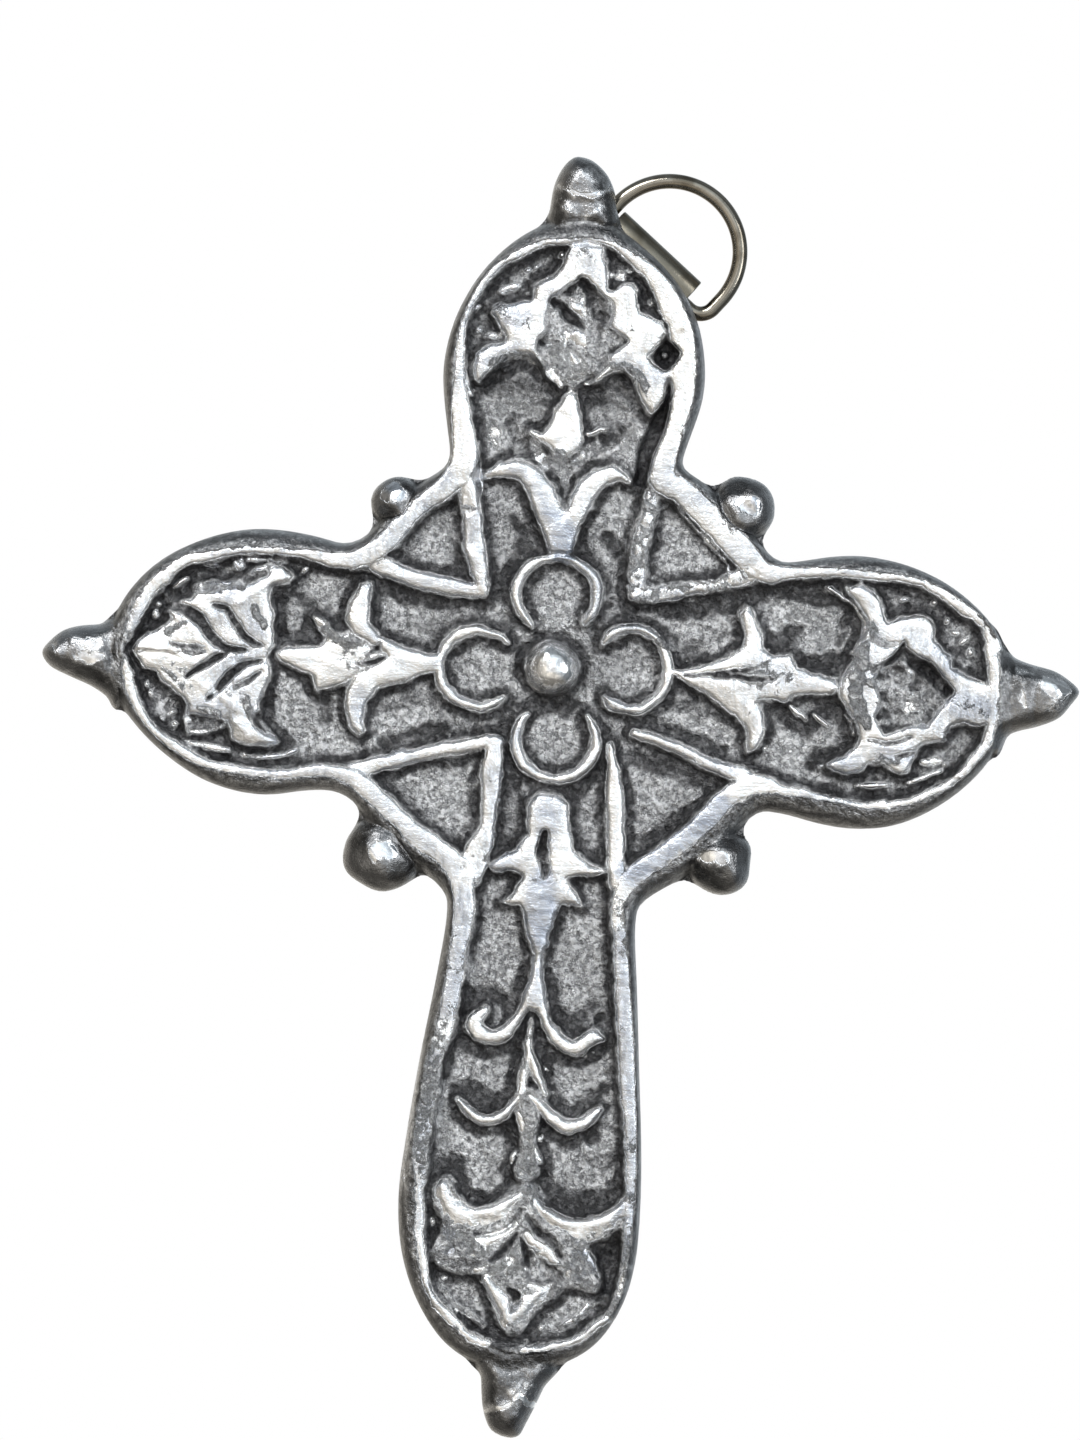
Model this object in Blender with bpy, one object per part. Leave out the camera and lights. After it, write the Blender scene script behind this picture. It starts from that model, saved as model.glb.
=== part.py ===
"""A cast metal wall cross with a ringed crossing, and the D-ring strap hanger on its back.

Sizes are in millimetres and are turned into metres as each mesh is made.  X runs to the
right, Z up and Y away from the viewer, so the front faces -Y and the back face lies at y = 0.
The origin lies on the back face, behind the middle of the ring.
"""

import math

import bmesh
import bpy
import numpy as np
from mathutils import Matrix

MM = 0.001

# casting, depths measured forward from the back face
GROUND = 3.3
RIM_TOP = 5.5
BAR_TOP = 5.05
PETAL_TOP = 4.95
LEAF_TOP = 5.15
BUD_TOP = 4.85
BOSS_TOP = 7.0
EDGE = 0.5
SINK = 0.7
OUTLINE_STEP = 2.6

RING_CENTRE = (0.5, 0.4)
RING_RADIUS = 30.0
BOSS_CENTRE = (0.0, 1.0)
BOSS_RADIUS = 3.9
PETAL_REACH = 9.6
PETAL_RADIUS = 4.8
PETAL_WIDTH = 1.1
BAR_WIDTH = 2.2

# hanger
RIVET = (0.6, 43.1)
SWING = math.radians(39.9)
SHEET = 0.8
CLEAR = 0.3
STRAP_WIDTH = 13.5
STRAP_REACH = 16.85
STRAP_TAIL = 5.2
POCKET = 2.7
WIRE = 1.93
RING_WIDTH = 18.2
RING_CORNER = 2.2
BAR_INSET = 3.6
RING_SLIDE = 1.0
LEG = 1.5
RIVET_SHANK = 2.2
RIVET_HEAD = 5.6
RIVET_DEPTH = 2.3

BAR_Y = CLEAR + SHEET + POCKET / 2

# finials: centre of the root, direction, length, half width at the root, lean of the tip
FINIALS = {
    "top": ((0.8, 57.6), (0.0, 1.0), 9.2, 4.2, -0.6),
    "left": ((-55.6, -0.6), (-1.0, 0.0), 10.0, 3.9, -0.2),
    "right": ((57.2, 0.4), (1.0, 0.0), 10.8, 5.0, 1.2),
    "bottom": ((0.1, -88.6), (0.0, -1.0), 9.6, 4.7, -0.5),
}

# knobs on the ring: x, z, radius
KNOBS = (
    (-21.2, 21.0, 3.7),
    (23.5, 22.6, 4.3),
    (-20.6, -24.0, 4.9),
    (23.0, -22.5, 4.6),
)

# edges of the body without its finials and knobs, each a smooth curve through its points
TOP_ARM = (
    (14.9, 27.4), (15.9, 30.8), (17.5, 36.5), (17.5, 41.5), (16.2, 46.8), (13.3, 51.6),
    (9.0, 55.6), (4.6, 58.4), (0.6, 59.4), (-3.2, 58.4), (-7.5, 55.9), (-11.5, 51.8),
    (-14.4, 46.6), (-15.8, 41.5), (-16.0, 37.0), (-15.1, 31.0), (-14.5, 27.8),
)
LEFT_ARM = (
    (-27.0, 15.3), (-31.0, 16.3), (-35.5, 16.9), (-40.0, 16.5), (-45.0, 15.0), (-50.0, 12.3),
    (-53.8, 8.7), (-56.2, 4.4), (-57.0, -0.6), (-56.2, -5.2), (-53.7, -8.8), (-50.0, -12.0),
    (-45.0, -15.0), (-40.0, -16.6), (-35.5, -16.9), (-31.0, -16.4), (-27.0, -16.1),
)
BOTTOM_ARM = (
    (-12.0, -28.4), (-11.9, -32.0), (-12.9, -40.0), (-14.4, -50.0), (-15.6, -60.0),
    (-16.0, -68.0), (-15.1, -75.0), (-12.8, -81.0), (-9.2, -86.0), (-4.8, -89.0),
    (0.2, -90.0), (5.0, -88.8), (9.6, -85.6), (12.9, -80.5), (14.5, -75.0), (15.0, -68.0),
    (14.7, -60.0), (13.9, -50.0), (13.1, -40.0), (12.4, -32.0), (12.7, -28.4),
)
RIGHT_ARM = (
    (27.4, -15.8), (31.0, -16.2), (35.5, -17.2), (40.0, -17.6), (45.0, -16.9), (50.0, -14.5),
    (54.5, -10.8), (57.5, -6.4), (58.6, 0.0), (57.9, 5.0), (55.6, 9.3), (51.0, 13.2),
    (45.5, 15.9), (40.0, 17.3), (35.5, 17.3), (31.5, 16.5), (28.0, 15.9),
)
# stretches of the ring's edge between the arms, as angles in degrees
RING_TOP_LEFT = (120.0, 148.0)
RING_BOTTOM_LEFT = (214.0, 242.0)
RING_BOTTOM_RIGHT = (-62.0, -34.0)
RING_TOP_RIGHT = (34.0, 59.0)

# straight bars that carry each arm's edges on to the quatrefoil
BARS = (
    ((-12.2, 25.6), (-9.8, 9.6)),
    ((11.9, 25.8), (10.2, 9.6)),
    ((-24.6, 12.4), (-9.6, 10.2)),
    ((25.4, 13.4), (10.0, 10.6)),
    ((-25.2, -14.2), (-7.6, -9.2)),
    ((25.4, -12.9), (10.4, -7.2)),
    ((-9.2, -26.6), (-7.9, -9.0)),
    ((9.9, -26.8), (8.6, -11.6)),
)

# foliage, as (height, outline)
FOLIAGE = {
    "top_leaf": (LEAF_TOP, (
        (1.0, 57.4), (3.4, 55.4), (4.5, 51.2), (6.2, 50.4), (8.4, 47.2), (11.4, 46.2),
        (12.0, 44.4), (10.0, 42.2), (11.6, 40.8), (14.2, 40.4), (14.0, 37.6), (11.0, 36.4),
        (9.5, 38.5), (7.0, 40.0), (4.0, 39.4), (1.0, 37.2), (-2.5, 38.6), (-5.0, 40.6),
        (-8.0, 41.4), (-10.5, 39.4), (-11.8, 36.6), (-13.6, 38.0), (-13.0, 40.6),
        (-10.6, 43.0), (-8.6, 43.4), (-9.5, 46.2), (-7.5, 47.6), (-5.0, 47.0),
        (-4.6, 49.6), (-2.5, 51.6), (-1.0, 55.4),
    )),
    "top_bud": (BUD_TOP, (
        (0.2, 36.4), (1.5, 35.8), (2.3, 32.5), (2.0, 29.8), (0.4, 27.4), (-2.2, 29.0),
        (-4.8, 30.9), (-2.8, 31.3), (-1.6, 33.6),
    )),
    "top_scroll": (LEAF_TOP - 0.05, (
        (-10.0, 25.2), (-8.3, 26.6), (-6.3, 27.2), (-4.0, 26.5), (-2.2, 24.6), (-0.9, 22.4),
        (0.3, 21.3), (1.2, 22.8), (2.3, 25.1), (4.2, 26.8), (6.2, 27.2), (7.8, 26.4),
        (8.9, 25.0), (7.5, 24.7), (6.0, 24.3), (4.8, 22.6), (3.3, 19.0), (1.8, 15.4),
        (-1.4, 15.4), (-2.6, 18.6), (-4.0, 22.3), (-5.3, 24.5), (-7.5, 24.9),
    )),
    "left_leaf": (LEAF_TOP, (
        (-54.6, 0.4), (-52.8, 2.8), (-49.8, 4.3), (-49.4, 6.6), (-46.2, 7.6), (-45.8, 9.4),
        (-42.0, 10.2), (-38.0, 11.8), (-35.4, 11.9), (-33.4, 10.6), (-35.6, 9.4),
        (-36.4, 7.2), (-35.5, 3.4), (-36.3, 0.6), (-37.2, -3.4), (-37.4, -6.8),
        (-34.6, -10.4), (-36.2, -11.2), (-39.2, -11.0), (-41.3, -8.0), (-44.0, -8.8),
        (-46.8, -9.3), (-47.6, -7.2), (-47.2, -5.4), (-50.0, -4.0), (-53.0, -1.8),
    )),
    "left_bud": (BUD_TOP, (
        (-35.4, 0.9), (-33.0, 1.9), (-29.4, 2.3), (-28.4, 3.4), (-26.4, 4.0), (-22.0, 1.6),
        (-24.6, -0.6), (-27.5, -2.8), (-30.0, -3.2), (-31.2, -1.4), (-33.6, -0.6),
    )),
    "left_anchor": (LEAF_TOP - 0.1, (
        (-23.2, 11.2), (-25.2, 11.0), (-26.9, 7.4), (-26.5, 5.0), (-24.5, 3.4),
        (-21.2, 1.6), (-23.5, -0.3), (-25.6, -2.2), (-26.4, -4.8), (-26.0, -7.2),
        (-24.6, -9.0), (-23.6, -8.6), (-24.0, -6.6), (-23.3, -4.6), (-21.0, -2.3),
        (-18.0, -1.3), (-14.4, -0.4), (-14.4, 2.2), (-18.5, 3.0), (-21.8, 3.9),
        (-23.5, 5.6), (-23.8, 8.0),
    )),
    "right_anchor": (LEAF_TOP - 0.1, (
        (14.8, 2.0), (18.4, 2.5), (21.5, 4.0), (23.1, 6.5), (23.5, 9.6), (25.2, 10.8),
        (26.2, 8.8), (26.8, 6.4), (28.0, 4.6), (30.6, 4.6), (31.4, 2.9), (36.6, 1.2),
        (36.4, -0.4), (31.8, -1.0), (30.6, -2.9), (27.0, -1.8), (27.9, -5.2),
        (27.0, -8.2), (25.5, -8.7), (25.3, -6.2), (23.4, -4.0), (20.8, -2.2),
        (17.8, -0.6), (14.8, 0.0),
    )),
    "right_leaf": (LEAF_TOP, (
        (36.8, 12.4), (39.4, 13.0), (41.4, 11.6), (42.5, 9.0), (44.6, 10.0), (48.0, 10.0),
        (48.6, 7.8), (51.0, 5.6), (52.2, 3.8), (56.0, 2.6), (56.0, -2.6), (52.0, -3.6),
        (49.2, -6.6), (47.0, -9.4), (44.0, -8.6), (40.5, -9.5), (38.4, -10.8),
        (35.6, -9.7), (38.3, -7.8), (39.9, -5.4), (38.5, -3.0), (37.3, -1.0), (37.2, 1.0),
        (38.4, 3.4), (39.9, 6.0), (39.8, 9.0), (38.2, 11.2),
    )),
    "bottom_stem": (LEAF_TOP, (
        (-2.0, -15.8), (-0.5, -15.0), (1.6, -15.0), (3.0, -16.0), (3.4, -20.0),
        (4.6, -22.9), (8.2, -24.8), (4.2, -25.6), (5.4, -29.3), (2.7, -29.1),
        (1.7, -32.2), (0.9, -35.0), (-0.5, -35.0), (-1.1, -32.8), (-2.3, -29.6),
        (-4.6, -29.2), (-2.5, -25.6), (-6.9, -25.0), (-6.4, -24.1), (-3.3, -22.4),
        (-2.1, -20.0),
    )),
    "bottom_stem_foot": (BUD_TOP, (
        (-0.8, -33.4), (0.9, -33.4), (1.2, -38.0), (1.4, -43.6), (1.0, -50.0),
        (1.9, -54.4), (0.8, -62.0), (1.8, -63.4), (1.0, -65.2), (-1.0, -65.2),
        (-1.8, -63.2), (-0.9, -57.0), (-1.6, -54.4), (-0.6, -48.0), (-1.5, -43.4),
        (-0.9, -38.0),
    )),
    "bottom_leaf": (LEAF_TOP, (
        (-9.4, -65.0), (-11.7, -67.4), (-10.2, -71.6), (-11.8, -74.6), (-10.4, -76.6),
        (-5.2, -77.0), (-4.4, -79.0), (-2.4, -83.0), (-0.7, -85.8), (1.3, -83.0),
        (3.2, -80.2), (5.6, -78.0), (9.9, -78.4), (10.0, -75.4), (8.2, -72.8),
        (12.7, -71.6), (13.6, -66.4), (12.2, -68.4), (9.0, -70.7), (6.0, -70.5),
        (3.5, -68.9), (1.0, -66.4), (-0.8, -66.2), (-3.5, -68.9), (-5.5, -70.5),
        (-7.5, -69.3), (-9.0, -67.4),
    )),
}

# slim curled stems, as (height, half width, points of the middle line)
STEMS = (
    (4.9, 0.95, ((-0.2, -41.6), (-2.5, -45.0), (-4.9, -46.7), (-7.3, -46.3), (-8.0, -44.6))),
    (4.9, 0.95, ((0.4, -41.6), (2.7, -45.6), (5.2, -47.5), (7.2, -46.9), (8.6, -45.3))),
    (4.75, 0.8, ((-9.0, -55.0), (-7.3, -56.6), (-5.0, -57.1), (-2.9, -55.9), (-0.6, -53.8))),
    (4.75, 0.8, ((0.4, -53.8), (3.0, -56.7), (5.4, -57.9), (7.4, -57.0), (9.0, -55.0))),
)

# sunken hearts of the two open leaves, as (depth of the floor, outline)
HEARTS = (
    (3.9, (
        (1.0, 51.4), (3.4, 48.8), (4.8, 46.0), (4.0, 42.4), (2.4, 40.4), (0.5, 39.2),
        (-1.5, 40.6), (-3.8, 43.2), (-3.0, 47.0),
    )),
    (3.9, (
        (39.4, 1.2), (42.0, 3.2), (45.0, 6.3), (48.0, 4.4), (51.2, 0.4), (49.4, -1.6),
        (47.4, -4.4), (44.0, -5.0), (40.6, -3.4), (40.4, -1.0),
    )),
    (4.2, ((-0.4, -19.8), (0.5, -19.8), (0.8, -24.0), (0.2, -26.2), (-0.3, -23.0))),
)


def clear_scene():
    for obj in list(bpy.data.objects):
        bpy.data.objects.remove(obj)


def material(name, colour, roughness):
    mat = bpy.data.materials.new(name)
    mat.use_nodes = True
    shader = mat.node_tree.nodes["Principled BSDF"]
    shader.inputs["Base Color"].default_value = (*colour, 1.0)
    shader.inputs["Metallic"].default_value = 1.0
    shader.inputs["Roughness"].default_value = roughness
    return mat


def object_of(name, bm):
    """An object from a mesh drawn in millimetres, its faces turned to point out."""
    bmesh.ops.recalc_face_normals(bm, faces=bm.faces[:])
    bmesh.ops.scale(bm, vec=(MM, MM, MM), verts=bm.verts[:])
    mesh = bpy.data.meshes.new(name)
    bm.to_mesh(mesh)
    bm.free()
    obj = bpy.data.objects.new(name, mesh)
    bpy.context.scene.collection.objects.link(obj)
    return obj


def stacked(name, loops):
    """A closed body through loops with the same number of points, the first and last capped."""
    bm = bmesh.new()
    rows = [[bm.verts.new(point) for point in loop] for loop in loops]
    for lower, upper in zip(rows, rows[1:]):
        for i in range(len(lower)):
            j = (i + 1) % len(lower)
            bm.faces.new((lower[i], lower[j], upper[j], upper[i]))
    bm.faces.new(rows[0])
    bm.faces.new(rows[-1])
    return object_of(name, bm)


def smooth_line(points, step):
    """Points along a Catmull-Rom curve through the given ones, about one step apart."""
    pts = np.array(points, float)
    ends = np.vstack([2 * pts[0] - pts[1], pts, 2 * pts[-1] - pts[-2]])
    line = []
    for a, b, c, d in zip(ends, ends[1:], ends[2:], ends[3:]):
        count = max(1, round(float(np.linalg.norm(c - b)) / step))
        for t in np.arange(count) / count:
            line.append(0.5 * (2 * b + (c - a) * t + (2 * a - 5 * b + 4 * c - d) * t * t
                               + (3 * b - a - 3 * c + d) * t ** 3))
    line.append(pts[-1])
    return line


def ring_line(angles, step):
    """Points along the ring's edge between two angles in degrees."""
    start, end = np.radians(angles)
    count = max(2, round(RING_RADIUS * (end - start) / step))
    return [np.array((RING_CENTRE[0] + RING_RADIUS * math.cos(a),
                      RING_CENTRE[1] + RING_RADIUS * math.sin(a)))
            for a in np.linspace(start, end, count)]


def body_outline(step):
    """The body's edge, anticlockwise seen from the front, without finials and knobs."""
    line = smooth_line(TOP_ARM, step)
    line += ring_line(RING_TOP_LEFT, step)
    line += smooth_line(LEFT_ARM, step)
    line += ring_line(RING_BOTTOM_LEFT, step)
    line += smooth_line(BOTTOM_ARM, step)
    line += ring_line(RING_BOTTOM_RIGHT, step)
    line += smooth_line(RIGHT_ARM, step)
    line += ring_line(RING_TOP_RIGHT, step)
    line = np.array(line)
    return 0.25 * np.roll(line, 1, axis=0) + 0.5 * line + 0.25 * np.roll(line, -1, axis=0)


def inset(line, distance):
    """An anticlockwise closed line moved inward, its sharp corners held back."""
    line = np.array(line, float)
    ahead = np.roll(line, -1, axis=0) - line
    ahead /= np.linalg.norm(ahead, axis=1)[:, None]
    behind = np.roll(ahead, 1, axis=0)
    inward = np.stack([-ahead[:, 1] - behind[:, 1], ahead[:, 0] + behind[:, 0]], axis=1)
    inward /= np.linalg.norm(inward, axis=1)[:, None]
    lean = np.sum(inward * np.stack([-ahead[:, 1], ahead[:, 0]], axis=1), axis=1)
    return line + inward * (distance / np.maximum(lean, 0.55))[:, None]


def at_depth(line, depth):
    return [(float(x), -depth, float(z)) for x, z in line]


def anticlockwise(points):
    pts = np.array(points, float)
    after = np.roll(pts, -1, axis=0)
    area = np.sum(pts[:, 0] * after[:, 1] - after[:, 0] * pts[:, 1])
    return pts if area > 0 else pts[::-1]


def raised(name, outline, top, draft=0.4):
    """A raised island with drafted sides and a small chamfer, rooted in the ground."""
    line = anticlockwise(outline)
    return stacked(name, [
        at_depth(line, GROUND - SINK),
        at_depth(inset(line, draft * 0.6), top - 0.35),
        at_depth(inset(line, draft), top),
    ])


def unite(obj, other, operation="UNION"):
    """Applies one Boolean to obj and takes the other object away."""
    modifier = obj.modifiers.new("join", "BOOLEAN")
    modifier.operation = operation
    modifier.solver = "EXACT"
    modifier.object = other
    bpy.context.view_layer.update()
    mesh = bpy.data.meshes.new_from_object(obj.evaluated_get(bpy.context.evaluated_depsgraph_get()))
    obj.modifiers.clear()
    obj.data = mesh
    bpy.data.objects.remove(other)


def tray():
    """The flat-backed body with sloping sides, a raised rim and a sunken ground."""
    line = body_outline(OUTLINE_STEP)
    profile = (
        (0.35, 0.0), (0.0, EDGE), (1.7, RIM_TOP - 0.6), (2.3, RIM_TOP), (3.7, RIM_TOP),
        (4.3, RIM_TOP - 0.6), (5.0, GROUND),
    )
    return stacked("cross_casting", [at_depth(inset(line, d), y) for d, y in profile])


def bar(start, end, index):
    a, b = np.array(start), np.array(end)
    along = (b - a) / np.linalg.norm(b - a)
    side = np.array((-along[1], along[0])) * BAR_WIDTH / 2
    return raised("bar", (a + side, b + side, b - side, a - side), BAR_TOP + 0.01 * index)


def petal(angle, index):
    """One open loop of the quatrefoil, its mouth towards the boss."""
    centre = np.array(BOSS_CENTRE) + PETAL_REACH * np.array((math.cos(angle), math.sin(angle)))
    turns = angle + np.radians(np.linspace(-138.0, 138.0, 25))
    rays = np.stack([np.cos(turns), np.sin(turns)], axis=1)
    outer = centre + rays * (PETAL_RADIUS + PETAL_WIDTH / 2)
    inner = centre + rays[::-1] * (PETAL_RADIUS - PETAL_WIDTH / 2)
    return raised("petal", np.vstack([outer, inner]), PETAL_TOP + 0.01 * index, 0.25)


def stem(top, half_width, points):
    """A curled stem that narrows to a point at its free end."""
    line = np.array(smooth_line(points, 0.9))
    along = np.gradient(line, axis=0)
    along /= np.linalg.norm(along, axis=1)[:, None]
    side = np.stack([-along[:, 1], along[:, 0]], axis=1)
    width = half_width * np.sin(np.linspace(0.30 * math.pi, 0.92 * math.pi, len(line)))[:, None]
    return raised("stem", np.vstack([line - side * width, (line + side * width)[::-1]]), top, 0.2)


def boss():
    """A dome at the crossing."""
    loops = []
    for depth, share in ((GROUND - SINK, 1.0), (GROUND + 0.9, 1.0)):
        loops.append((depth, BOSS_RADIUS * share))
    for lift in np.radians((20.0, 40.0, 58.0, 74.0)):
        depth = GROUND + 0.9 + (BOSS_TOP - GROUND - 0.9) * math.sin(lift)
        loops.append((depth, BOSS_RADIUS * math.cos(lift)))
    turns = np.linspace(0.0, 2 * math.pi, 24, endpoint=False)
    rings = []
    for depth, radius in loops:
        x = BOSS_CENTRE[0] + radius * np.cos(turns)
        z = BOSS_CENTRE[1] + radius * np.sin(turns)
        rings.append(at_depth(np.stack([x, z], axis=1), depth))
    return stacked("boss", rings)


def knob(x, z, radius, index):
    """A rough faceted knob: a squashed ball of few faces, turned a different way each time."""
    bm = bmesh.new()
    bmesh.ops.create_icosphere(bm, subdivisions=2, radius=radius)
    bmesh.ops.rotate(bm, verts=bm.verts[:], matrix=Matrix.Rotation(0.7 + index, 3, "Y"))
    bmesh.ops.scale(bm, verts=bm.verts[:], vec=(1.0, 3.05 / radius, 1.0))
    bmesh.ops.translate(bm, verts=bm.verts[:], vec=(x, -3.3, z))
    return object_of("knob", bm)


def finial(root, direction, length, half_width, lean):
    """A short stub with a pointed cone on it, oval in section and clear of the back plane."""
    out = np.array(direction)
    side = np.array((out[1], -out[0]))
    shape = ((0.0, 1.0), (0.25, 0.93), (0.44, 0.86), (0.50, 0.95), (0.70, 0.74), (0.87, 0.44),
             (0.97, 0.18))
    loops = []
    for along, share in shape:
        middle = np.array(root) + out * length * along + side * lean * along
        loop = []
        for turn in np.linspace(0.0, 2 * math.pi, 16, endpoint=False):
            point = middle + side * half_width * share * math.cos(turn)
            loop.append((point[0], -3.0 + 2.75 * share * math.sin(turn), point[1]))
        loops.append(loop)
    return stacked("finial", loops)


def drill(name, centre, radius, start, end, count=24):
    """A round peg along Y between two y values."""
    turns = np.linspace(0.0, 2 * math.pi, count, endpoint=False)
    loops = []
    for y in (start, end):
        loops.append([(centre[0] + radius * math.cos(t), y, centre[1] + radius * math.sin(t))
                      for t in turns])
    return stacked(name, loops)


def cross_casting():
    casting = tray()
    for index, (start, end) in enumerate(BARS):
        unite(casting, bar(start, end, index))
    for index in range(4):
        unite(casting, petal(index * math.pi / 2, index))
    unite(casting, boss())
    for name, (top, outline) in FOLIAGE.items():
        unite(casting, raised(name, outline, top))
    for top, half_width, points in STEMS:
        unite(casting, stem(top, half_width, points))
    for floor, outline in HEARTS:
        line = anticlockwise(outline)
        cutter = stacked("heart", [at_depth(inset(line, 0.3), floor), at_depth(line, 9.0)])
        unite(casting, cutter, "DIFFERENCE")
    for index, (x, z, radius) in enumerate(KNOBS):
        unite(casting, knob(x, z, radius, index))
    for shape in FINIALS.values():
        unite(casting, finial(*shape))
    hole = drill("pilot", RIVET, RIVET_SHANK / 2 + CLEAR, 1.0, -RIVET_DEPTH - CLEAR)
    unite(casting, hole, "DIFFERENCE")
    casting.data.materials.clear()
    casting.data.materials.append(material("antiqued_casting", (0.55, 0.55, 0.56), 0.38))
    return casting


def strap_path():
    """Middle line of the folded sheet in the plane of (reach from the rivet, y)."""
    half = SHEET / 2
    front = CLEAR + half
    back = front + SHEET + CLEAR
    bend = POCKET / 2 + half
    crown = STRAP_REACH - half - bend
    path = [(-STRAP_TAIL, front), (crown - 6.0, front), (crown, front)]
    for turn in np.radians(np.arange(-75.0, 76.0, 15.0)):
        path.append((crown + bend * math.cos(turn), BAR_Y + bend * math.sin(turn)))
    path += [(crown, BAR_Y + bend), (crown - 3.2, BAR_Y + bend)]
    for t in (0.2, 0.4, 0.6, 0.8):
        ease = t * t * (3 - 2 * t)
        path.append((crown - 3.2 - 3.4 * t, BAR_Y + bend + (back - BAR_Y - bend) * ease))
    path += [(crown - 6.6, back), (-STRAP_TAIL, back)]
    return np.array(path)


def hanger_strap():
    """A strip folded round the ring's bar, both layers drilled for the rivet."""
    line = strap_path()
    along = np.gradient(line, axis=0)
    along /= np.linalg.norm(along, axis=1)[:, None]
    side = np.stack([-along[:, 1], along[:, 0]], axis=1) * SHEET / 2
    section = np.vstack([line + side, (line - side)[::-1]])
    half = STRAP_WIDTH / 2
    strap = stacked("hanger_strap", [[(u, y, v) for v, y in section] for u in (-half, half)])
    corner = 4.5
    plan = [(half + 1.0, STRAP_REACH + 2.0), (-half - 1.0, STRAP_REACH + 2.0)]
    plan += [(-half - 1.0, corner - STRAP_TAIL)]
    for side_sign in (-1.0, 1.0):
        turns = np.radians(np.linspace(180.0, 270.0, 8))
        arc = [(side_sign * (half - corner - corner * math.cos(t)),
                corner - STRAP_TAIL + corner * math.sin(t)) for t in turns]
        plan += arc if side_sign < 0 else arc[::-1]
    plan += [(half + 1.0, corner - STRAP_TAIL)]
    keep = stacked("plan", [[(u, y, v) for u, v in plan] for y in (-1.0, 8.0)])
    unite(strap, keep, "INTERSECT")
    unite(strap, drill("hole", (0.0, 0.0), RIVET_SHANK / 2 + CLEAR, -1.0, 8.0), "DIFFERENCE")
    strap.data.materials.clear()
    strap.data.materials.append(material("nickel_strap", (0.50, 0.47, 0.41), 0.28))
    strap.matrix_world = (Matrix.Translation((RIVET[0] * MM, 0.0, RIVET[1] * MM))
                          @ Matrix.Rotation(SWING, 4, "Y"))
    return strap


def ring_line_points():
    """Middle line of the D-ring about its bar: x along the bar, z away from it."""
    half, corner = RING_WIDTH / 2, RING_CORNER
    points = []
    for start, side_sign in ((270.0, 1.0), (0.0, 1.0)):
        count = 6 if start == 270.0 else 25
        radius = corner if start == 270.0 else half
        centre = (half - corner, corner) if start == 270.0 else (0.0, corner + LEG)
        for turn in np.radians(np.linspace(start, start + (90.0 if radius == corner else 180.0),
                                           count)):
            points.append((centre[0] + radius * math.cos(turn),
                           centre[1] + radius * math.sin(turn)))
    for turn in np.radians(np.linspace(180.0, 270.0, 6)):
        points.append((corner - half + corner * math.cos(turn), corner + corner * math.sin(turn)))
    return np.array(points)


def d_ring():
    """Round wire bent to a D, its origin on the axis of the straight bar."""
    line = ring_line_points()
    along = np.roll(line, -1, axis=0) - np.roll(line, 1, axis=0)
    along /= np.linalg.norm(along, axis=1)[:, None]
    out = np.stack([along[:, 1], -along[:, 0]], axis=1)
    bm = bmesh.new()
    rows = []
    for (x, z), (ox, oz) in zip(line, out):
        row = []
        for turn in np.linspace(0.0, 2 * math.pi, 14, endpoint=False):
            push = WIRE / 2 * math.cos(turn)
            row.append(bm.verts.new((x + ox * push, WIRE / 2 * math.sin(turn), z + oz * push)))
        rows.append(row)
    for row, following in zip(rows, rows[1:] + rows[:1]):
        for i in range(14):
            j = (i + 1) % 14
            bm.faces.new((row[i], row[j], following[j], following[i]))
    ring = object_of("d_ring", bm)
    ring.data.materials.append(material("nickel_ring", (0.56, 0.53, 0.47), 0.2))
    hinge = Matrix.Translation((RING_SLIDE * MM, BAR_Y * MM, (STRAP_REACH - BAR_INSET) * MM))
    ring.matrix_world = (Matrix.Translation((RIVET[0] * MM, 0.0, RIVET[1] * MM))
                         @ Matrix.Rotation(SWING, 4, "Y") @ hinge)
    return ring


def hanger_rivet():
    """A domed rivet through both layers of the strap into the casting."""
    seat = 2 * CLEAR + 2 * SHEET + CLEAR
    shank, head = RIVET_SHANK / 2, RIVET_HEAD / 2
    profile = ((-RIVET_DEPTH, shank), (seat, shank), (seat, head), (seat + 0.35, head))
    profile += tuple((seat + 0.35 + 1.15 * math.sin(t), head * math.cos(t))
                     for t in np.radians((25.0, 48.0, 68.0)))
    turns = np.linspace(0.0, 2 * math.pi, 24, endpoint=False)
    loops = [[(radius * math.cos(t), y, radius * math.sin(t)) for t in turns]
             for y, radius in profile]
    rivet = stacked("hanger_rivet", loops)
    rivet.data.materials.append(material("nickel_rivet", (0.55, 0.52, 0.46), 0.25))
    rivet.location = (RIVET[0] * MM, 0.0, RIVET[1] * MM)
    return rivet


clear_scene()
cross_casting()
hanger_strap()
d_ring()
hanger_rivet()
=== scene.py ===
"""Looks of the cast wall cross: a sculpted, antiqued relief and its nickel D-ring hanger.

The relief is worked out on a raster in millimetres. Each feature is a signed distance, positive
inside, that lifts the ground to its own height. The same raster gives how polished and how
sooty each point of the metal is, and where highlights and shade are painted on to it.
"""
import math

import bmesh
import bpy
import numpy as np
from mathutils import Euler, Matrix, Vector
from mathutils.geometry import delaunay_2d_cdt

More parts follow.
